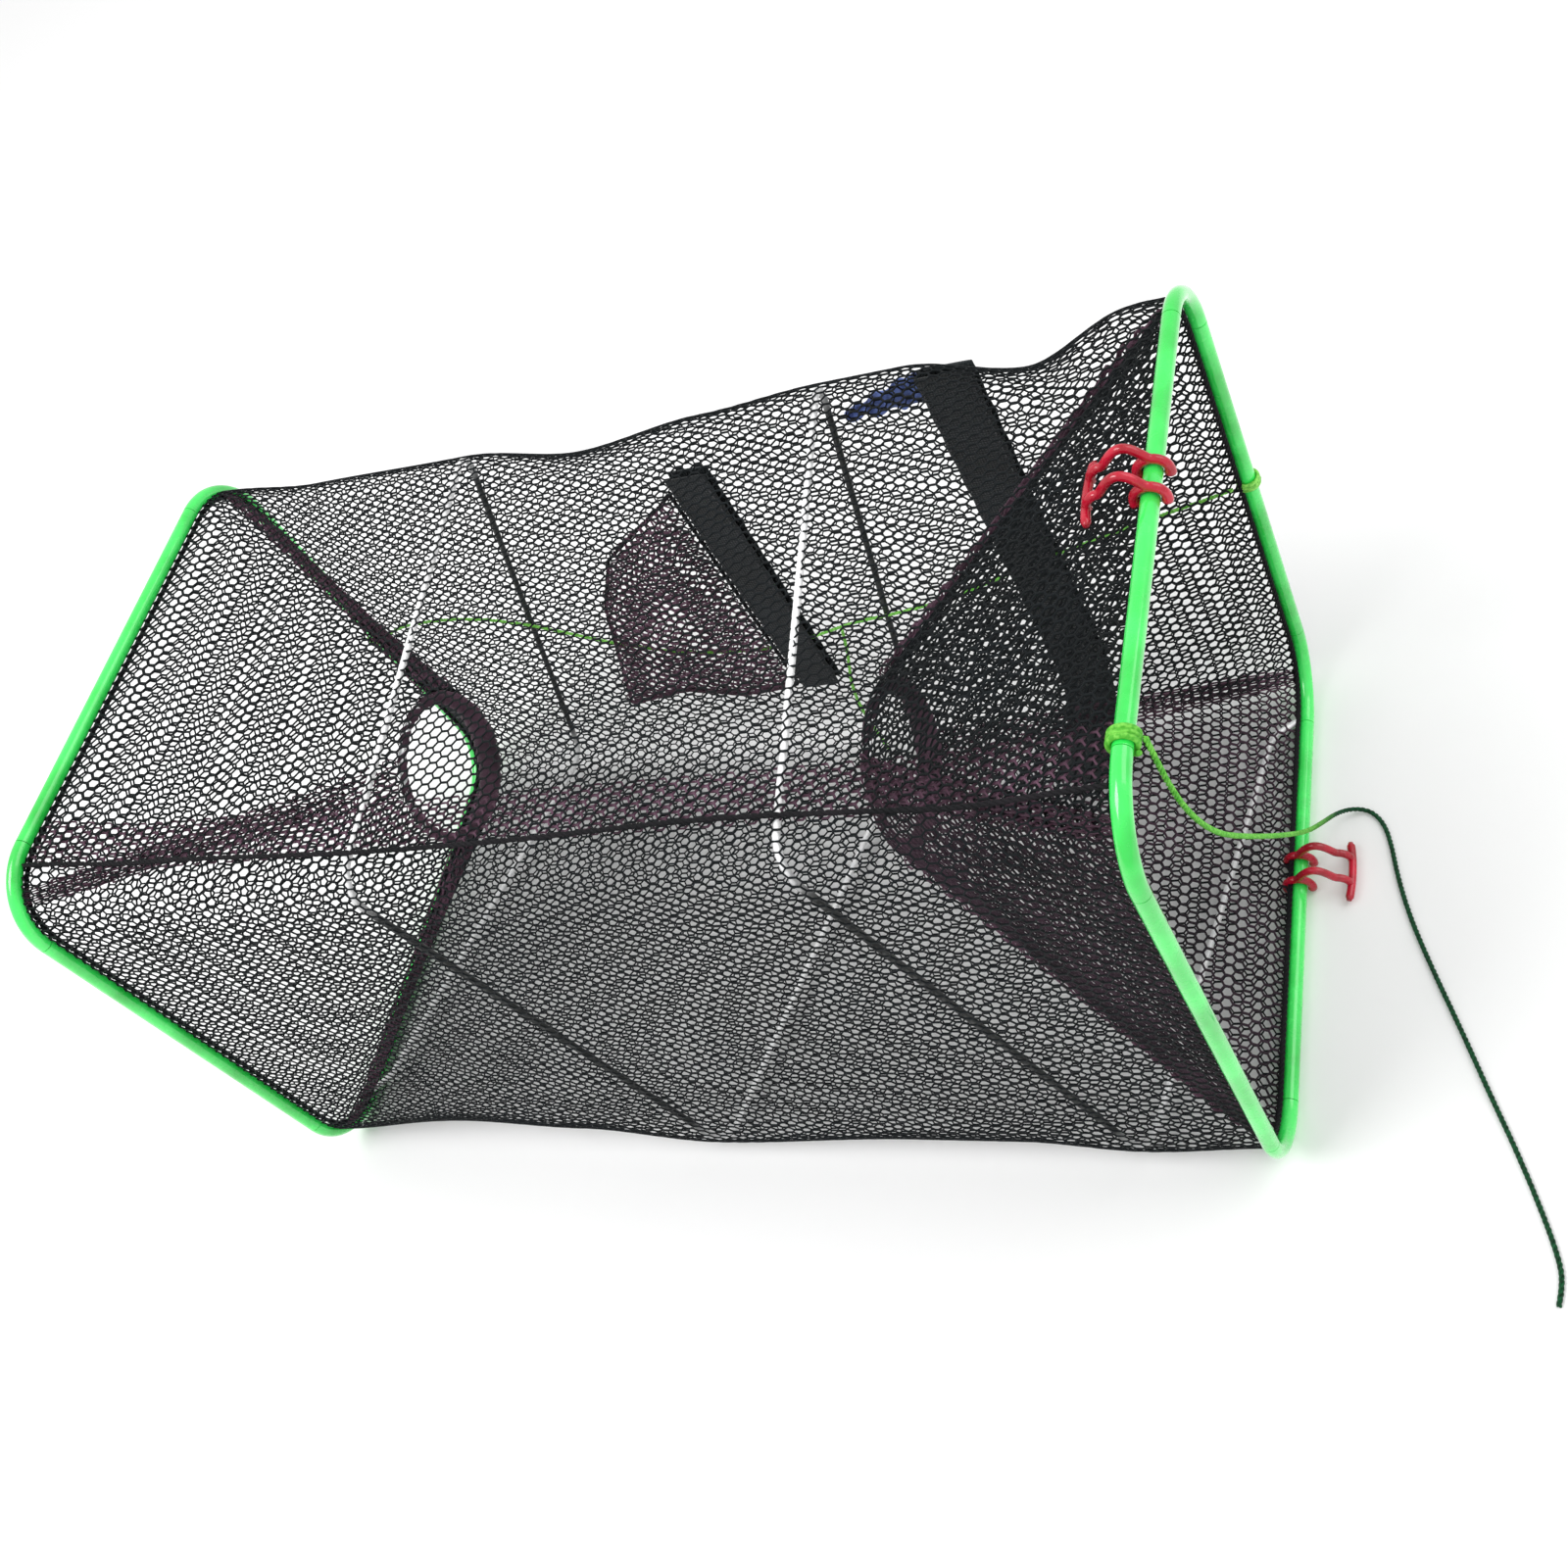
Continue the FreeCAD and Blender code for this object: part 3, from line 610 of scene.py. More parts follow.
def hitch(name, node, along, diameter, turns=3):
    """Turns of cord round a bar, a helix of radius bar + cord, that end under a crossing turn."""
    centre = at(*middle(node))
    along = np.array(along, float)
    start = np.cross(along, np.eye(3)[np.argmin(abs(along))])
    across = np.cross(along, start)
    share = np.linspace(0, 1, 40 * turns)
    radius = SLEEVE + diameter * 0.55

    def wound(turn, radius, shift):
        ring = np.cos(turn)[:, None] * start + np.sin(turn)[:, None] * across
        return centre + ring * radius + shift[:, None] * along

    winding = wound(share * turns * 2 * math.pi, radius, (share - 0.5) * (turns - 0.6) * diameter * 1.06)
    lift = diameter * 0.9 * np.exp(-((share - 0.5) / 0.45) ** 2)
    bight = wound((share - 0.5) * 2.0, radius + lift[:, None], (share - 0.5) * turns * diameter * 1.1)
    return joined(name, [tube_parts(winding, diameter / 2), tube_parts(bight, diameter / 2)])


def add_knots():
    for end in ("left", "right"):
        node = "bait_line_%s_knot" % end
        knot = hitch(node + "_turns", node, (0, 0, 1), BAIT_LINE_THICK)
        fit(knot, lime_line, end + "_end", node)
    knot = hitch("haul_cord_hitch", "haul_cord_knot", (0, 1, 0), HAUL_CORD_THICK)
    fit(knot, green_cord, "right_end", "haul_cord_knot")


# ---------------------------------------------------------------- netting

PITCH = 5.0 * MM
CELL_SIDE = PITCH / math.sqrt(3)
COLUMN = 1.5 * CELL_SIDE
# Twine: its height, and a cell's hole as shares of the cell along the columns and across them.  Bars
# are thicker than legs.  The funnels and the pocket are of a slightly heavier netting.
FINE = (0.72 * MM, 0.9, 0.835)
HEAVY = (0.85 * MM, 0.875, 0.8)
CELL_CORNERS = np.array([(2, 0), (1, 1), (-1, 1), (-2, 0), (-1, -1), (1, -1)])


def netting(name, place, columns, rows, hand=1, chosen=None, twine=HEAVY):
    """Six-sided mesh on a surface.  Cells sit in columns half a cell out of step; each is a ring of
    six sides between its corners, which its neighbours share, and its hole's corners.  A side is a
    ridge of twine: highest on the line between two cells, lower at the hole, closed all round.
    place(u, v) gives points of the surface; hand is -1 if u x v points inwards."""
    column, row = (a.ravel() for a in np.meshgrid(np.arange(*columns), np.arange(*rows), indexing="ij"))
    centre = np.stack([3 * column, 2 * row + column % 2], axis=1)
    if chosen is not None:
        centre = centre[chosen(*to_metres(centre))]
    outer = centre[:, None] + CELL_CORNERS
    height, hole_along, hole_across = twine
    holes = centre[:, None] + CELL_CORNERS * np.array([hole_along, hole_across])
    nodes, which = np.unique(outer.reshape(-1, 2), axis=0, return_inverse=True)
    which = which.reshape(-1, 6)
    ridge, ridge_up = lifted(place, *to_metres(nodes), hand)
    lip, lip_up = lifted(place, *to_metres(holes.reshape(-1, 2)), hand)
    points = np.concatenate([ridge + ridge_up * height / 2, ridge - ridge_up * height / 2,
                             lip + lip_up * height / 3, lip - lip_up * height / 3])
    under = len(ridge)
    lips = 2 * under + np.arange(len(lip)).reshape(-1, 6)
    here, ahead = which, np.roll(which, -1, axis=1)
    lip_here, lip_ahead = lips, np.roll(lips, -1, axis=1)
    deep = len(lip)
    quads = [np.stack([here, ahead, lip_ahead, lip_here], axis=-1),
             np.stack([here + under, lip_here + deep, lip_ahead + deep, ahead + under], axis=-1),
             np.stack([lip_here, lip_ahead, lip_ahead + deep, lip_here + deep], axis=-1)]
    count = len(nodes)
    edge = (here * count + ahead).ravel()
    free = ~np.isin(edge, (ahead * count + here).ravel())
    a, b = here.ravel()[free], ahead.ravel()[free]
    quads.append(np.stack([b, a, a + under, b + under], axis=-1))
    faces = np.concatenate([quad.reshape(-1, 4) for quad in quads])
    if hand < 0:
        faces = faces[:, ::-1]
    return add_mesh(name, points, faces)


def twine_cover(twine):
    """The twine's surface, counted on one side, over the area of the netting it makes: read from a
    patch of the same netting laid flat.  A sheet of netting has this share of its outline's area."""
    count = 12
    patch = netting("patch", lambda u, v: np.stack([u, v, 0 * u], axis=-1), (0, count), (0, count),
                    twine=twine)
    surface = sum(face.area for face in patch.data.polygons) / 2
    outline = count * COLUMN * count * PITCH
    mesh = patch.data
    bpy.data.objects.remove(patch)
    bpy.data.meshes.remove(mesh)
    return surface / outline


def to_metres(halves):
    """Half-cell counts along and across, as distances."""
    return halves[:, 0] * CELL_SIDE / 2, halves[:, 1] * PITCH / 2


def lifted(place, u, v, hand):
    """Points of a surface and its outward unit normals, from steps a tenth of a cell each way."""
    step = PITCH / 10
    along = place(u + step, v) - place(u - step, v)
    across = place(u, v + step) - place(u, v - step)
    normal = np.cross(along, across) * hand
    return place(u, v), normal / np.linalg.norm(normal, axis=1)[:, None]


# Round the net, looking along the trap: the back from its top edge down, then the bottom, front, top.
FACES = ("back", "bottom", "front", "top")
EDGE_SIGNS = np.array([(1, -1), (-1, -1), (-1, 1), (1, 1)])
BACK_INSET = 8.4 * MM
FRONT_INSET = 2.4 * MM
RIM_INSET = 0.45 * SLEEVE
FLARE = 60 * MM
RIM_STATION = 0.75 * SLEEVE
FACE_CELLS = 48
# How far each edge is rounded off, as a share of half a face: little where the coil's corners hold the
# net out, more where it hangs free between them.
EDGE_ROUNDING = (
    ((0, 0.25), (0.07, 0.17), (0.17, 0.27), (0.271, 0.17), (0.37, 0.27), (0.46, 0.25)),
    ((0, 0.25), (0.084, 0.38), (0.15, 0.3), (0.217, 0.15), (0.31, 0.24), (0.36, 0.24), (0.407, 0.15),
     (0.46, 0.25)),
    ((0, 0.25), (0.09, 0.18), (0.17, 0.17), (0.258, 0.25), (0.347, 0.17), (0.41, 0.22), (0.46, 0.25)),
    ((0, 0.25), (0.06, 0.14), (0.144, 0.17), (0.203, 0.35), (0.262, 0.22), (0.316, 0.15), (0.352, 0.15),
     (0.402, 0.37), (0.437, 0.2), (0.46, 0.25)),
)


def edge_point(station, which):
    """Where two neighbouring faces would meet if the edge were sharp, as side and rise."""
    rim = np.minimum(station, SPACING - station) / FLARE
    rim = 1 - np.clip(rim, 0, 1)
    rim = rim * rim * (3 - 2 * rim)
    signs = EDGE_SIGNS[which]
    back = BACK_INSET + (RIM_INSET - BACK_INSET) * rim
    front = FRONT_INSET + (RIM_INSET - FRONT_INSET) * rim
    side = signs[..., 0] * (HALF - np.where(signs[..., 0] > 0, back, front))
    rise = signs[..., 1] * (HALF - np.where(signs[..., 1] > 0, back, front))
    return np.stack([side, rise], axis=-1)


def rounding(station, which):
    """The rounding of each point's own edge at its station."""
    value = np.zeros(np.shape(station))
    for edge in range(4):
        value = np.where(which == edge, eased(station, EDGE_ROUNDING[edge]), value)
    return value


def round_the_net(station, turn):
    """Side and rise on the net's outline; turn goes from 0 to 4 round the four faces.  From the
    middle of a face the line runs straight towards the edge, and its last share is a quadratic
    curve whose control point is the sharp edge."""
    face = np.floor(turn).astype(int) % 4
    share = (turn - np.floor(turn)) * 2 - 1
    towards = np.where(share >= 0, face, (face - 1) % 4)
    away = np.where(share >= 0, (face - 1) % 4, face)
    beyond = np.where(share >= 0, (face + 1) % 4, (face - 2) % 4)
    share = abs(share)
    corner = edge_point(station, towards)
    centre = (corner + edge_point(station, away)) / 2
    next_centre = (corner + edge_point(station, beyond)) / 2
    bend = rounding(station, towards)[..., None]
    share = share[..., None]
    straight = centre + share * (corner - centre)
    first = centre + (1 - bend) * (corner - centre)
    last = next_centre + (1 - bend) * (corner - next_centre)
    t = np.clip((share - 1 + bend) / bend, 0, 1) / 2
    curve = (1 - t) ** 2 * first + 2 * t * (1 - t) * corner + t ** 2 * last
    return np.where(share > 1 - bend, curve, straight)


def body_net(u, v):
    """The long net: u along the trap, v round it.  Its top, front and bottom faces billow a little."""
    turn = v / (FACE_CELLS * PITCH)
    station = RIM_STATION + u * (SPACING - 2 * RIM_STATION) / BODY_LENGTH
    side, rise = np.moveaxis(round_the_net(station, turn), -1, 0)
    face = np.floor(turn).astype(int) % 4
    middle_share = 1 - abs((turn - np.floor(turn)) * 2 - 1)
    free = np.clip(middle_share, 0, 1) * np.sin(math.pi * np.clip(station / SPACING, 0, 1))
    wave = np.sin(station / (31 * MM) + 2.1 * turn) * 0.9 * MM * free
    rise = rise + np.where(face == 3, wave - 1.2 * MM * free, 0) - np.where(face == 1, 1.6 * MM * free, 0)
    side = side + np.where(face == 2, wave, 0)
    return at(station, side, rise)


BODY_COLUMNS = round((SPACING - 2 * RIM_STATION) / COLUMN)
BODY_LENGTH = (BODY_COLUMNS - 0.5) * COLUMN


def add_body_net():
    """Four pieces, one for each face, whose cells run on from one into the next."""
    for index, face in enumerate(FACES):
        piece = netting("net_" + face, body_net, (0, BODY_COLUMNS),
                        (index * FACE_CELLS, (index + 1) * FACE_CELLS), twine=FINE)
        fit(piece, black_netting, "left_end", "net_%s_panel" % face)
        press(piece)


# ---------------------------------------------------------------- funnels

THROAT_RADIUS = 36.0 * MM
MOUTH_HALF = 119.0 * MM
THROAT_HALF = THROAT_RADIUS * math.pi / 4
BAND_CELLS = 7
PLEAT_RUN = 10 * MM
HEM_SWELL = math.radians(-40)


def funnel_slant(mouth, throat_station):
    """The length of a funnel's panels, between that of their middles and that of their edges."""
    return math.hypot(throat_station - mouth, 1.1 * HALF - THROAT_RADIUS)


def funnel_surface(mouth, throat, slant, first_turn):
    """One panel of a funnel: straight lines from the frame's rounded square to the ring's circle,
    u along them and v across.  The panel's half width goes from the mouth's to the throat's, and
    v / half width is the share of the way from the panel's middle to its edge."""
    throat_station, throat_side, throat_rise = throat

    def place(u, v, push=0.0):
        share = u / slant
        half = MOUTH_HALF + (THROAT_HALF - MOUTH_HALF) * share
        turn = first_turn + v / half / 2
        side, rise = np.moveaxis(round_the_net(0 * turn, turn), -1, 0)
        angle = math.pi / 4 - turn * math.pi / 2
        ring_side = throat_side + (THROAT_RADIUS + push) * np.cos(angle)
        ring_rise = throat_rise + (THROAT_RADIUS + push) * np.sin(angle)
        grow = 1 + push / HALF
        return at(mouth + (throat_station - mouth) * share,
                  side * grow * (1 - share) + ring_side * share,
                  rise * grow * (1 - share) + ring_rise * share)

    return place


def pleated(place, slant):
    """The folded seam along a funnel's corner: its cloth is drawn together across, by a share that
    grows from mouth to throat, and stands in pleats that take up the rest of its width."""

    def seam(u, v):
        share = np.clip(u / slant, 0, 1)
        drawn = 0.26 + 0.26 * share
        rise = np.clip(share / 0.16, 0, 1)
        wave = np.arcsin(np.sin(2 * math.pi * v / PLEAT_RUN + 1.5 * share)) * 2 / math.pi
        depth = PLEAT_RUN / 4 * np.sqrt(1 - drawn ** 2)
        return place(u, v * drawn, rise * depth * (1.1 + wave))

    return seam


def add_funnels():
    """Each funnel is four tapering panels of net, joined along the corners by folded seams."""
    for end, mouth, hand in (("left", RIM_STATION, 1), ("right", SPACING - RIM_STATION, -1)):
        throat = middle(end + "_throat_ring")
        columns = round(funnel_slant(mouth, throat[0]) / COLUMN)
        slant = (columns - 0.5) * COLUMN
        rows = math.ceil(MOUTH_HALF / PITCH)

        def inside(u, v):
            return abs(v) < MOUTH_HALF + (THROAT_HALF - MOUTH_HALF) * u / slant + PITCH / 4

        for index, face in enumerate(FACES):
            place = funnel_surface(mouth, throat, slant, index + 0.5)
            name = "%s_funnel_%s" % (end, face)
            panel = netting(name, place, (0, columns), (-rows, rows + 1), hand, inside)
            near = end == "right" and face in ("front", "bottom")
            finish_funnel_piece(panel, worn_netting if near else black_netting, end)
            corner = funnel_surface(mouth, throat, slant, index)
            seam = netting(name + "_seam", pleated(corner, slant), (0, columns),
                           (-(BAND_CELLS // 2), BAND_CELLS // 2 + 1), hand)
            finish_funnel_piece(seam, brown_netting, end)


def finish_funnel_piece(piece, make, end):
    anchor = anchor_station(end)
    keep = folded_gap(end) / abs(middle(end + "_throat_ring")[0] - anchor)
    fit(piece, make, end + "_end", end + "_funnel_net")
    press(piece, at(anchor, 0, 0), keep)


def anchor_station(end):
    return 0.0 if end == "left" else SPACING


def folded_gap(end):
    """How far a throat ring lies from its own frame when the trap is folded."""
    station = middle(end + "_throat_ring")[0]
    folded = station - RATIOS[end + "_throat_travel"] * FOLD
    frame_place = 0.0 if end == "left" else SPACING - FOLD
    return abs(folded - frame_place)


def add_throats():
    """The wire ring stays; the net's edge is rolled round it and gathered.  The roll's thickness is
    roll * (0.6 + 0.1 cos(gathers a + 2 b) + swell), with most of its swell low at the back, where
    the gathers hang; a goes round the ring and b round the roll."""
    for end in ("left", "right"):
        low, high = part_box(end + "_throat_hem")
        station, side, rise = middle(end + "_throat_hem")
        roll = (high.x - low.x) / 2
        ring = (high.y - low.y) / 2 - roll
        rows, columns = 360, 14
        a, b = np.meshgrid(np.arange(rows) * 2 * math.pi / rows,
                           np.arange(columns) * 2 * math.pi / columns, indexing="ij")
        swell = 1.2 * np.exp((np.cos(a - HEM_SWELL) - 1) * 1.3)
        thick = roll * (0.6 + 0.1 * np.cos(46 * a + 2 * b) + 0.06 * np.cos(17 * a + 1.0) + swell)
        reach = ring + thick * np.cos(b) - 0.55 * roll * swell
        points = at(station + thick * np.sin(b), side + reach * np.cos(a), rise + reach * np.sin(a))
        faces = grid_faces(rows + 1, columns, True) % (rows * columns)
        hem = add_mesh(end + "_throat_roll", points.reshape(-1, 3), faces[:, ::-1])
        fit(hem, gathered_net, end + "_throat", end + "_throat_hem")


# ---------------------------------------------------------------- wires and edges

def add_coil():
    """A copy of the coil's CAD shape with its doubles merged. The real coil changes shape in the fold; this copy
    keeps its shape.
    """
    mesh = frame["nodes"]["spring_coil_wire"].data.copy()
    coil = new_object("spring_coil", mesh)
    bpy.ops.object.select_all(action="DESELECT")
    bpy.context.view_layer.objects.active = coil
    coil.select_set(True)
    bpy.ops.object.mode_set(mode="EDIT")
    bpy.ops.mesh.select_all(action="SELECT")
    bpy.ops.mesh.remove_doubles(threshold=1e-6)
    bpy.ops.object.mode_set(mode="OBJECT")
    mesh.shade_smooth()
    fit(coil, spring_wire, "left_end", "spring_coil_wire")
    press(coil)


OVERLAP_CELLS = 4


def add_seam():
    """The doubled seam along the top: a cord of three strands a little behind the front edge."""
    side = middle("net_seam")[1]
    station = np.linspace(RIM_STATION + MM, SPACING - RIM_STATION - MM, 120)
    rise = top_height(station, side) + 0.7 * MM
    path = at(station, side + 1.5 * MM * np.sin(station / (40 * MM)), rise)
    seam = laid_rope("net_seam_cord", path, 2.0 * MM, lay=4)
    fit(seam, net_rope, "left_end", "net_seam")
    press(seam)


def add_seam_overlap():
    """The net's two edges overlap in a strip behind the seam, under the top face."""
    seam_turn = 3.5 + middle("net_seam")[1] / (2 * (HALF - FRONT_INSET))
    start = round(seam_turn * FACE_CELLS)

    def under(u, v):
        drop = at(-LEFT, 0, -AXIS - 1.3 * MM)
        return body_net(u + CELL_SIDE * 0.8, v + PITCH * 0.3) + drop

    strip = netting("net_seam_overlap", under, (0, BODY_COLUMNS - 1), (start, start + OVERLAP_CELLS))
    fit(strip, brown_netting, "left_end", "net_seam")
    press(strip)


def top_height(station, side):
    """The rise of the net's top face at a station and a side, found among points round the net."""
    turns = np.linspace(3.02, 3.98, 400)
    heights = []
    for place in station:
        outline = round_the_net(np.full(400, place), turns)
        order = np.argsort(outline[:, 0])
        heights.append(np.interp(side, outline[order, 0], outline[order, 1]))
    return np.array(heights)


def add_frames():
    """Tubing and wire keep the CAD shapes; the net's edge shows as a laced roll along the tubing."""
    for end, inward in (("left", 1), ("right", -1)):
        station = anchor_station(end) + inward * SLEEVE * 0.86
        turn = np.linspace(0, 4, 721)
        side, rise = np.moveaxis(round_the_net(np.zeros(721), turn % 4), -1, 0)
        shrink = (HALF - SLEEVE * 0.7) / HALF
        path = at(station, side * shrink, rise * shrink)
        edge = laid_rope(end + "_net_edge", path, 2.2 * MM, lay=3.4)
        fit(edge, net_rope, end + "_end")


CLIP_ROD = 3.3 * MM
CLIP_ARCH = 6.5 * MM
CLIP_GAP = 0.45 * MM
PRONG_SPACING = 12 * MM


def clip_prong(reach, pitch):
    """Distances out and up along one prong: round the bar from below its far side, over in an arch
    of height CLIP_ARCH * sin(pi share), down round the place of the other frame's bar, to the stem."""
    hook = np.radians(np.linspace(200, 95, 14))
    over = np.linspace(0.04, 0.96, 16)
    down = np.radians(np.linspace(85, -8, 12))
    out = np.concatenate([reach * np.cos(hook), pitch * over, pitch + reach * np.cos(down)])
    up = np.concatenate([reach * np.sin(hook), reach + CLIP_ARCH * np.sin(math.pi * over),
                         reach * np.sin(down)])
    return out, up


def add_clips():
    """Each clip is two hooked prongs on a stem, moulded in one."""
    for name, hook_way, rise in (("top_clip", -1, HALF), ("bottom_clip", 1, -HALF)):
        low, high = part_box(name)
        side = (low.y + high.y) / 2
        stem = (high.y - low.y) / 2 - CLIP_ROD / 2
        reach = SLEEVE + CLIP_GAP + CLIP_ROD / 2
        pitch = high.x - low.x - 2 * reach - CLIP_ROD
        back = np.radians(np.linspace(88, -16, 14))
        hooks = (clip_prong(reach, pitch), (reach * np.cos(back[::-1]), reach * np.sin(back[::-1])))
        parts = []
        for along in (-PRONG_SPACING / 2, PRONG_SPACING / 2):
            for out, up in hooks:
                swell = 1 + 0.22 * np.exp(-(np.arange(len(out)) / 2.2) ** 2)
                route = at(SPACING + hook_way * out, side + along, rise + up)
                parts.append(tube_parts(route, CLIP_ROD / 2 * swell, 12))
        share = np.linspace(-1, 1, 40)
        bow = 1.2 * MM * (1 - share ** 2)
        ends = CLIP_ROD / 2 * np.clip((1 - abs(share)) * 9, 0.35, 1) ** 0.5 * (1 + 0.1 * share ** 2)
        foot = at(SPACING + hook_way * (pitch + reach + bow - 0.6 * MM), side + stem * share, rise)
        parts.append(tube_parts(foot, ends, 12))
        clip = joined(name + "_moulding", parts)
        fit(clip, red_plastic, name, name)


CAD_FINISHES = (("sleeve", green_tubing, "green_tubing"), ("frame_wire", zinc_wire, "zinc_wire"),
                ("throat_ring", zinc_wire, "zinc_wire"), ("net_hem", net_rope, "net_rope"))


def finish_cad_nodes():
    """Rigid nodes keep their shapes and get the finish of their kind."""
    for name, thing in frame["nodes"].items():
        for ending, make, slot in CAD_FINISHES:
            if name.endswith(ending):
                dress(thing, make)
                thing.data.shade_smooth()


# ---------------------------------------------------------------- tapes, tab and pocket

TAPE_THICK = 1.6 * MM
STITCH_LENGTH = 2.6 * MM
STITCH_GAP = 1.5 * MM
STITCH_INSET = 1.7 * MM
STITCH_RADII = np.array([0.1, 0.28, 0.28, 0.1]) * MM
TAB_HEIGHT = 15 * MM
TAB_TIP_HEIGHT = 5 * MM
TAB_DROP = 8 * MM
TAB_HALF_THICK = 0.45 * MM


def tape_section(columns):
    """A flattened round, from -1 to 1 both ways: |cos|^0.35 across by |sin|^0.6 through."""
    turn = np.arange(columns) * 2 * math.pi / columns
    wide = np.sign(np.cos(turn)) * abs(np.cos(turn)) ** 0.35
    deep = np.sign(np.sin(turn)) * abs(np.sin(turn)) ** 0.6
    return wide[None, :], deep[None, :]


def taped(name, rings, hand=1):
    """A piece of tape over rings of points, closed at the middle of its first and last ring."""
    return add_mesh(name, *capped(rings, rings[:1].mean(axis=1), rings[-1:].mean(axis=1), hand))


def soft_strip(name, low, high, waves):
    """A strip of tape that stands in the box from low to high, whose edges waver and whose face
    ripples a little."""
    up = np.linspace(0, 1, 90)[:, None]
    wide, deep = tape_section(28)
    half_wide = (high.x - low.x) / 2
    half_thick = (high.y - low.y) / 2
    edge = 1 - 0.018 * (1 + np.sin(up * waves * 7 + wide))
    x = (low.x + high.x) / 2 + half_wide * wide * edge
    y = (low.y + high.y) / 2 + half_thick * deep * 0.8 + 0.2 * half_thick * np.sin(up * waves + wide)
    z = low.z + (high.z - low.z) * up
    return taped(name, np.stack(np.broadcast_arrays(x, y, z), axis=-1))


def add_tapes():
    """The inner tapes lie inside the net, the outer ones outside it, and hold it shut between them."""
    for node, body, make in (("pocket_inner_tape", "bait_pocket", hook_tape),
                             ("pocket_outer_tape", "pocket_flap", loop_tape),
                             ("access_inner_tape", "access_closure", hook_tape),
                             ("access_outer_tape", "access_flap", loop_tape)):
        low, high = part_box(node)
        tape = soft_strip(node + "_woven", low, high, 9)
        fit(tape, make, body, node)
        fit(sewn_rows(node + "_stitches", low, high), stitch_thread, body)


def sewn_rows(name, low, high):
    """Two rows of stitches up a tape, each stitch a small spindle that shows on both faces."""
    step = STITCH_LENGTH + STITCH_GAP
    count = int((high.z - low.z - 6 * MM) / step)
    starts = low.z + 3 * MM + np.arange(count) * step
    parts = []
    share = np.array([0, 0.3, 0.7, 1.0])
    for x in (low.x + STITCH_INSET, high.x - STITCH_INSET):
        for y in (low.y - 0.02 * MM, high.y + 0.02 * MM):
            for start in starts:
                path = np.stack([np.full(4, x), np.full(4, y), start + share * STITCH_LENGTH], axis=1)
                parts.append(tube_parts(path, STITCH_RADII, 5))
    return joined(name, parts)


def add_tail():
    """The inner access tape runs on round the lower back edge and forwards over the bottom."""
    low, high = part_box("access_tape_tail")
    bend = high.z - low.z
    quarter = bend * math.pi / 2
    along = np.linspace(0, quarter + high.y - low.y - bend, 60)[:, None]
    angle = np.clip(along / bend, 0, math.pi / 2)
    past = np.clip(along - quarter, 0, None)
    wide, deep = tape_section(24)
    radius = bend - TAPE_THICK / 2 + deep * TAPE_THICK * 0.45
    x = (low.x + high.x) / 2 + wide * (high.x - low.x) / 2
    y = high.y - bend + radius * np.cos(angle) - past
    z = high.z - radius * np.sin(angle)
    tail = taped("access_tape_tail_woven", np.stack(np.broadcast_arrays(x, y, z), axis=-1), -1)
    fit(tail, hook_tape, "access_closure", "access_tape_tail")


def add_pull_tab():
    """A crinkled ribbon that tapers to a blunt tip: a sheet folded on itself, with ripples that grow
    towards the tip, closed into a shell by a second sheet just behind the first."""
    low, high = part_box("access_pull_tab")
    rows, columns = 60, 24
    along = np.linspace(0, 1, rows)[:, None]
    across = np.linspace(-1, 1, columns)[None, :]
    tall = TAB_HEIGHT + (TAB_TIP_HEIGHT - TAB_HEIGHT) * along ** 1.3
    centre = high.z - TAB_HEIGHT / 2 - TAB_DROP * along
    x = high.x - (high.x - low.x) * along * (1 - 0.05 * across ** 2)
    z = centre + across * tall / 2 + 0.9 * MM * np.sin(along * 21 + across * 2)
    ripple = np.sin(along * 15 + across * 5) * 1.3 + np.sin(along * 33 - across * 7) * 0.6
    y = (low.y + high.y) / 2 + (0.25 + along) * ripple * 0.8 * MM
    sheet = np.stack(np.broadcast_arrays(x, y, z), axis=-1)
    thick = np.array([0, TAB_HALF_THICK, 0])
    points = np.concatenate([(sheet + thick).reshape(-1, 3), (sheet - thick).reshape(-1, 3)])
    front = grid_faces(rows, columns)
    back = front[:, ::-1] + rows * columns
    grid = np.arange(rows * columns).reshape(rows, columns)
    border = np.concatenate([grid[0, :-1], grid[:-1, -1], grid[-1, :0:-1], grid[:0:-1, 0]])
    ahead = np.roll(border, -1)
    rim = np.stack([ahead, border, border + rows * columns, ahead + rows * columns], axis=1)
    tab = add_mesh("access_pull_tab_ribbon", points, front, back, rim)
    fit(tab, blue_ribbon, "access_flap", "access_pull_tab")


POCKET_OUTLINE = np.array([(-1, 0.97), (-9, 0.93), (-52, 0.74), (-72, 0.52), (-98, 0.02), (-60, 0.06),
                           (-30, 0.0), (-1, 0.02)])


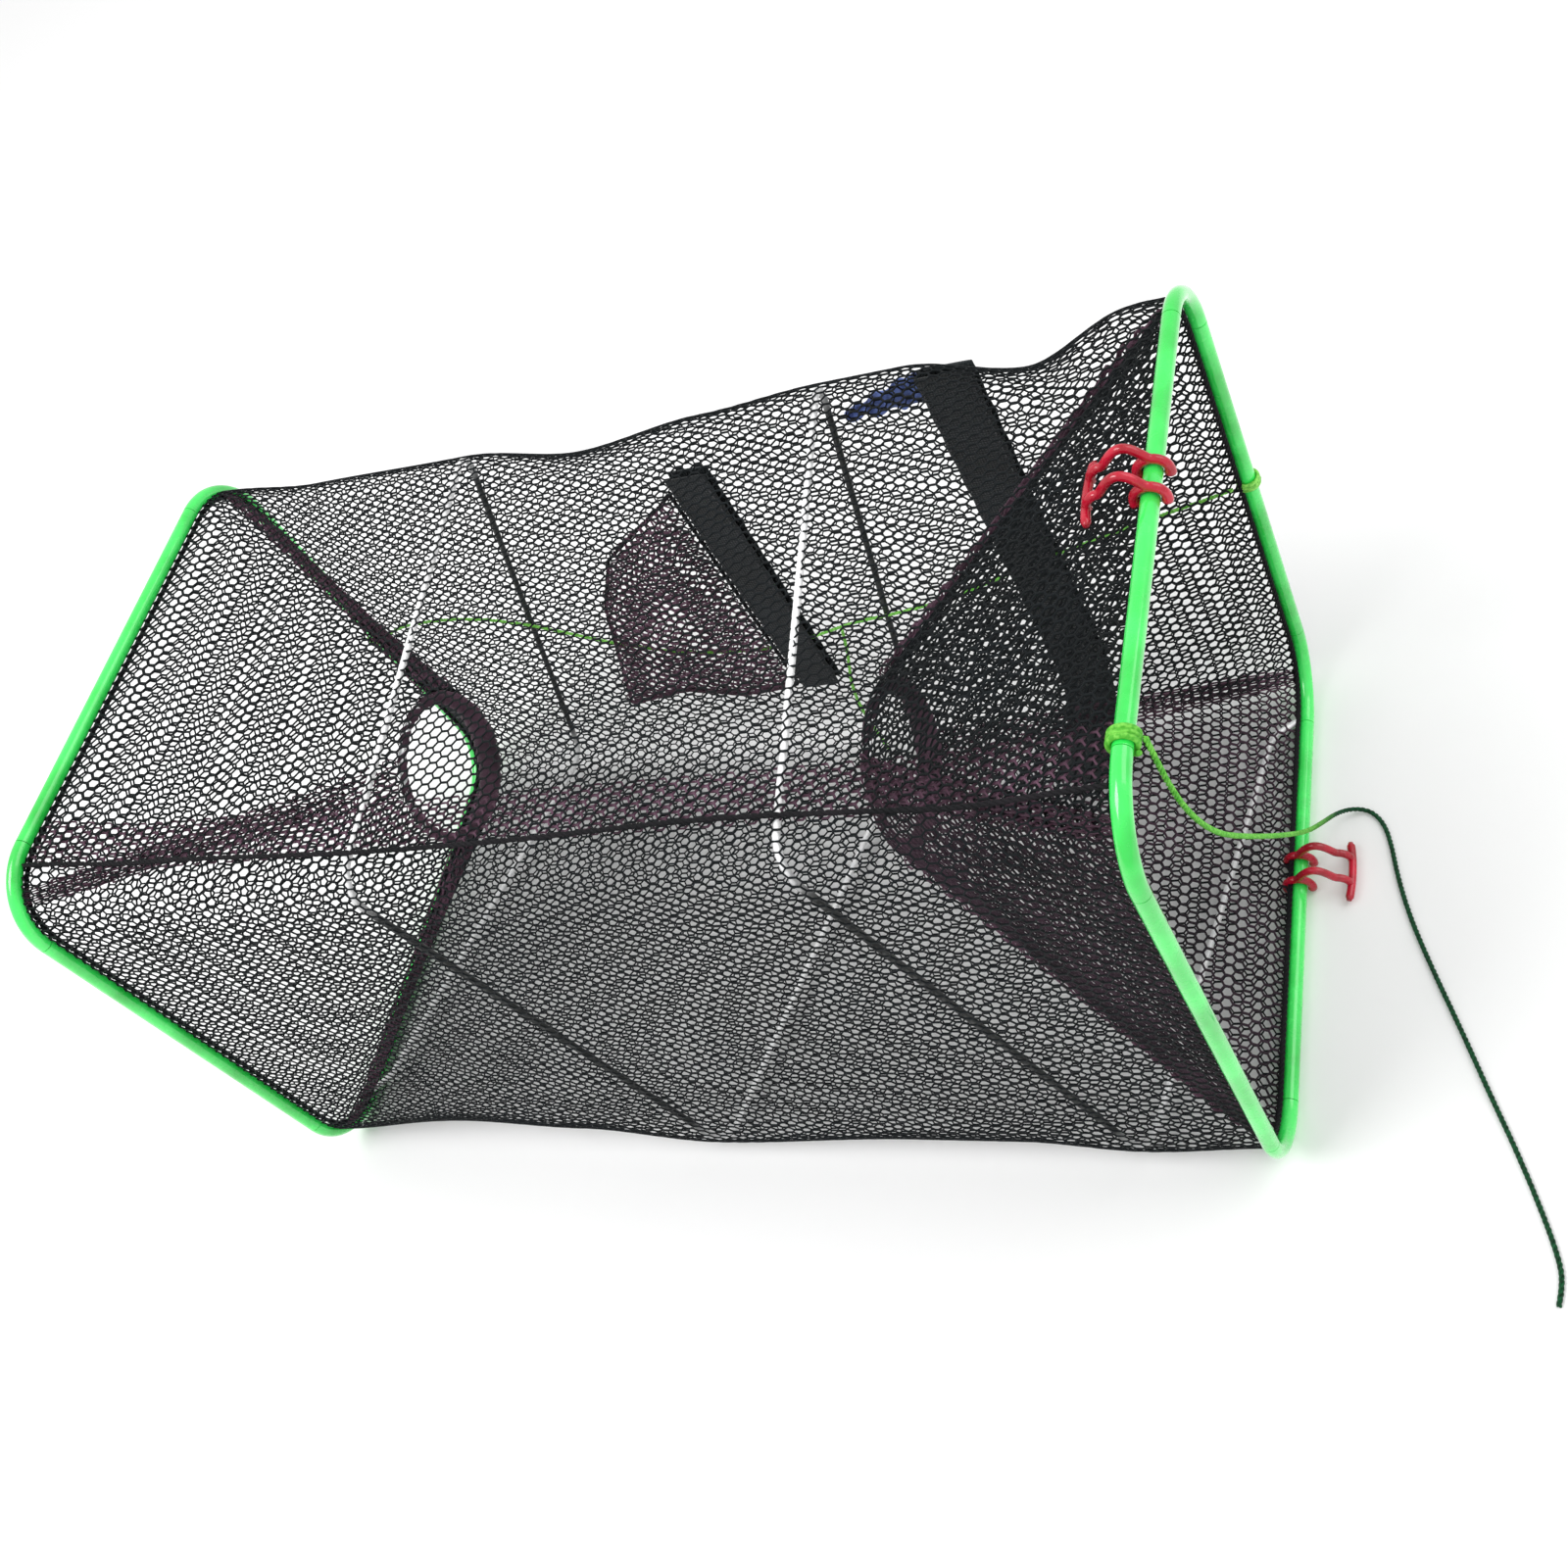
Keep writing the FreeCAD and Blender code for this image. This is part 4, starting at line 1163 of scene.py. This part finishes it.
def add_pocket():
    """A flat pouch of net inside the back face, open behind its tape: it bellies inwards by
    depth * sqrt(distance to its outline)."""
    low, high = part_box("bait_pocket_net")
    outline = np.stack([high.x + POCKET_OUTLINE[:, 0] * MM,
                        low.z + POCKET_OUTLINE[:, 1] * (high.z - low.z)], axis=1)
    depth = high.y - low.y - 2 * MM
    back = high.y - 1.2 * MM

    def to_edge(x, z):
        """Distance inwards from the outline; negative outside it."""
        a, b = outline, np.roll(outline, -1, axis=0)
        edge = b - a
        point = np.stack([x, z], axis=-1)[..., None, :]
        share = np.clip(((point - a) * edge).sum(-1) / (edge * edge).sum(-1), 0, 1)
        gap = np.linalg.norm(point - a - share[..., None] * edge, axis=-1).min(-1)
        crosses = (a[:, 1] > z[..., None]) != (b[:, 1] > z[..., None])
        where = a[:, 0] + (z[..., None] - a[:, 1]) / (b[:, 1] - a[:, 1] + 1e-12) * edge[:, 0]
        inside = (crosses & (x[..., None] < where)).sum(-1) % 2 == 1
        return np.where(inside, gap, -gap)

    def pouch(u, v, share=1.0):
        x, z = low.x + u, low.z + v
        belly = np.sqrt(np.clip(to_edge(x, z), 0, 30 * MM) / (30 * MM))
        return np.stack([x, back - depth * share * belly, z], axis=-1)

    def chosen(u, v):
        return to_edge(low.x + u, low.z + v) > 0.5 * MM

    columns = (0, int((high.x - low.x) / COLUMN) + 1)
    rows = (0, int((high.z - low.z) / PITCH) + 1)
    for name, share in (("bait_pocket_front_net", 1.0), ("bait_pocket_lining_net", 0.45)):
        piece = netting(name, lambda u, v, share=share: pouch(u, v, share), columns, rows, 1, chosen)
        fit(piece, brown_netting, "bait_pocket", "bait_pocket_net")
        press(piece, (high.x, 0, 0))
    rim = np.concatenate([outline, outline[:1]])
    rim = resampled(np.stack([rim[:, 0], np.full(len(rim), back), rim[:, 1]], axis=1), 2 * MM)
    binding = laid_rope("bait_pocket_binding", rim, 1.9 * MM)
    fit(binding, net_rope, "bait_pocket")
    press(binding, (high.x, 0, 0))


# ---------------------------------------------------------------- the whole trap

add_camera()
add_bait_line()
add_haul_cord()
add_studio()
add_knots()
FINE_COVER = twine_cover(FINE)
HEAVY_COVER = twine_cover(HEAVY)
add_body_net()
add_funnels()
add_throats()
add_coil()
add_seam()
add_seam_overlap()
add_frames()
add_clips()
add_tapes()
add_tail()
add_pull_tab()
add_pocket()
finish_cad_nodes()
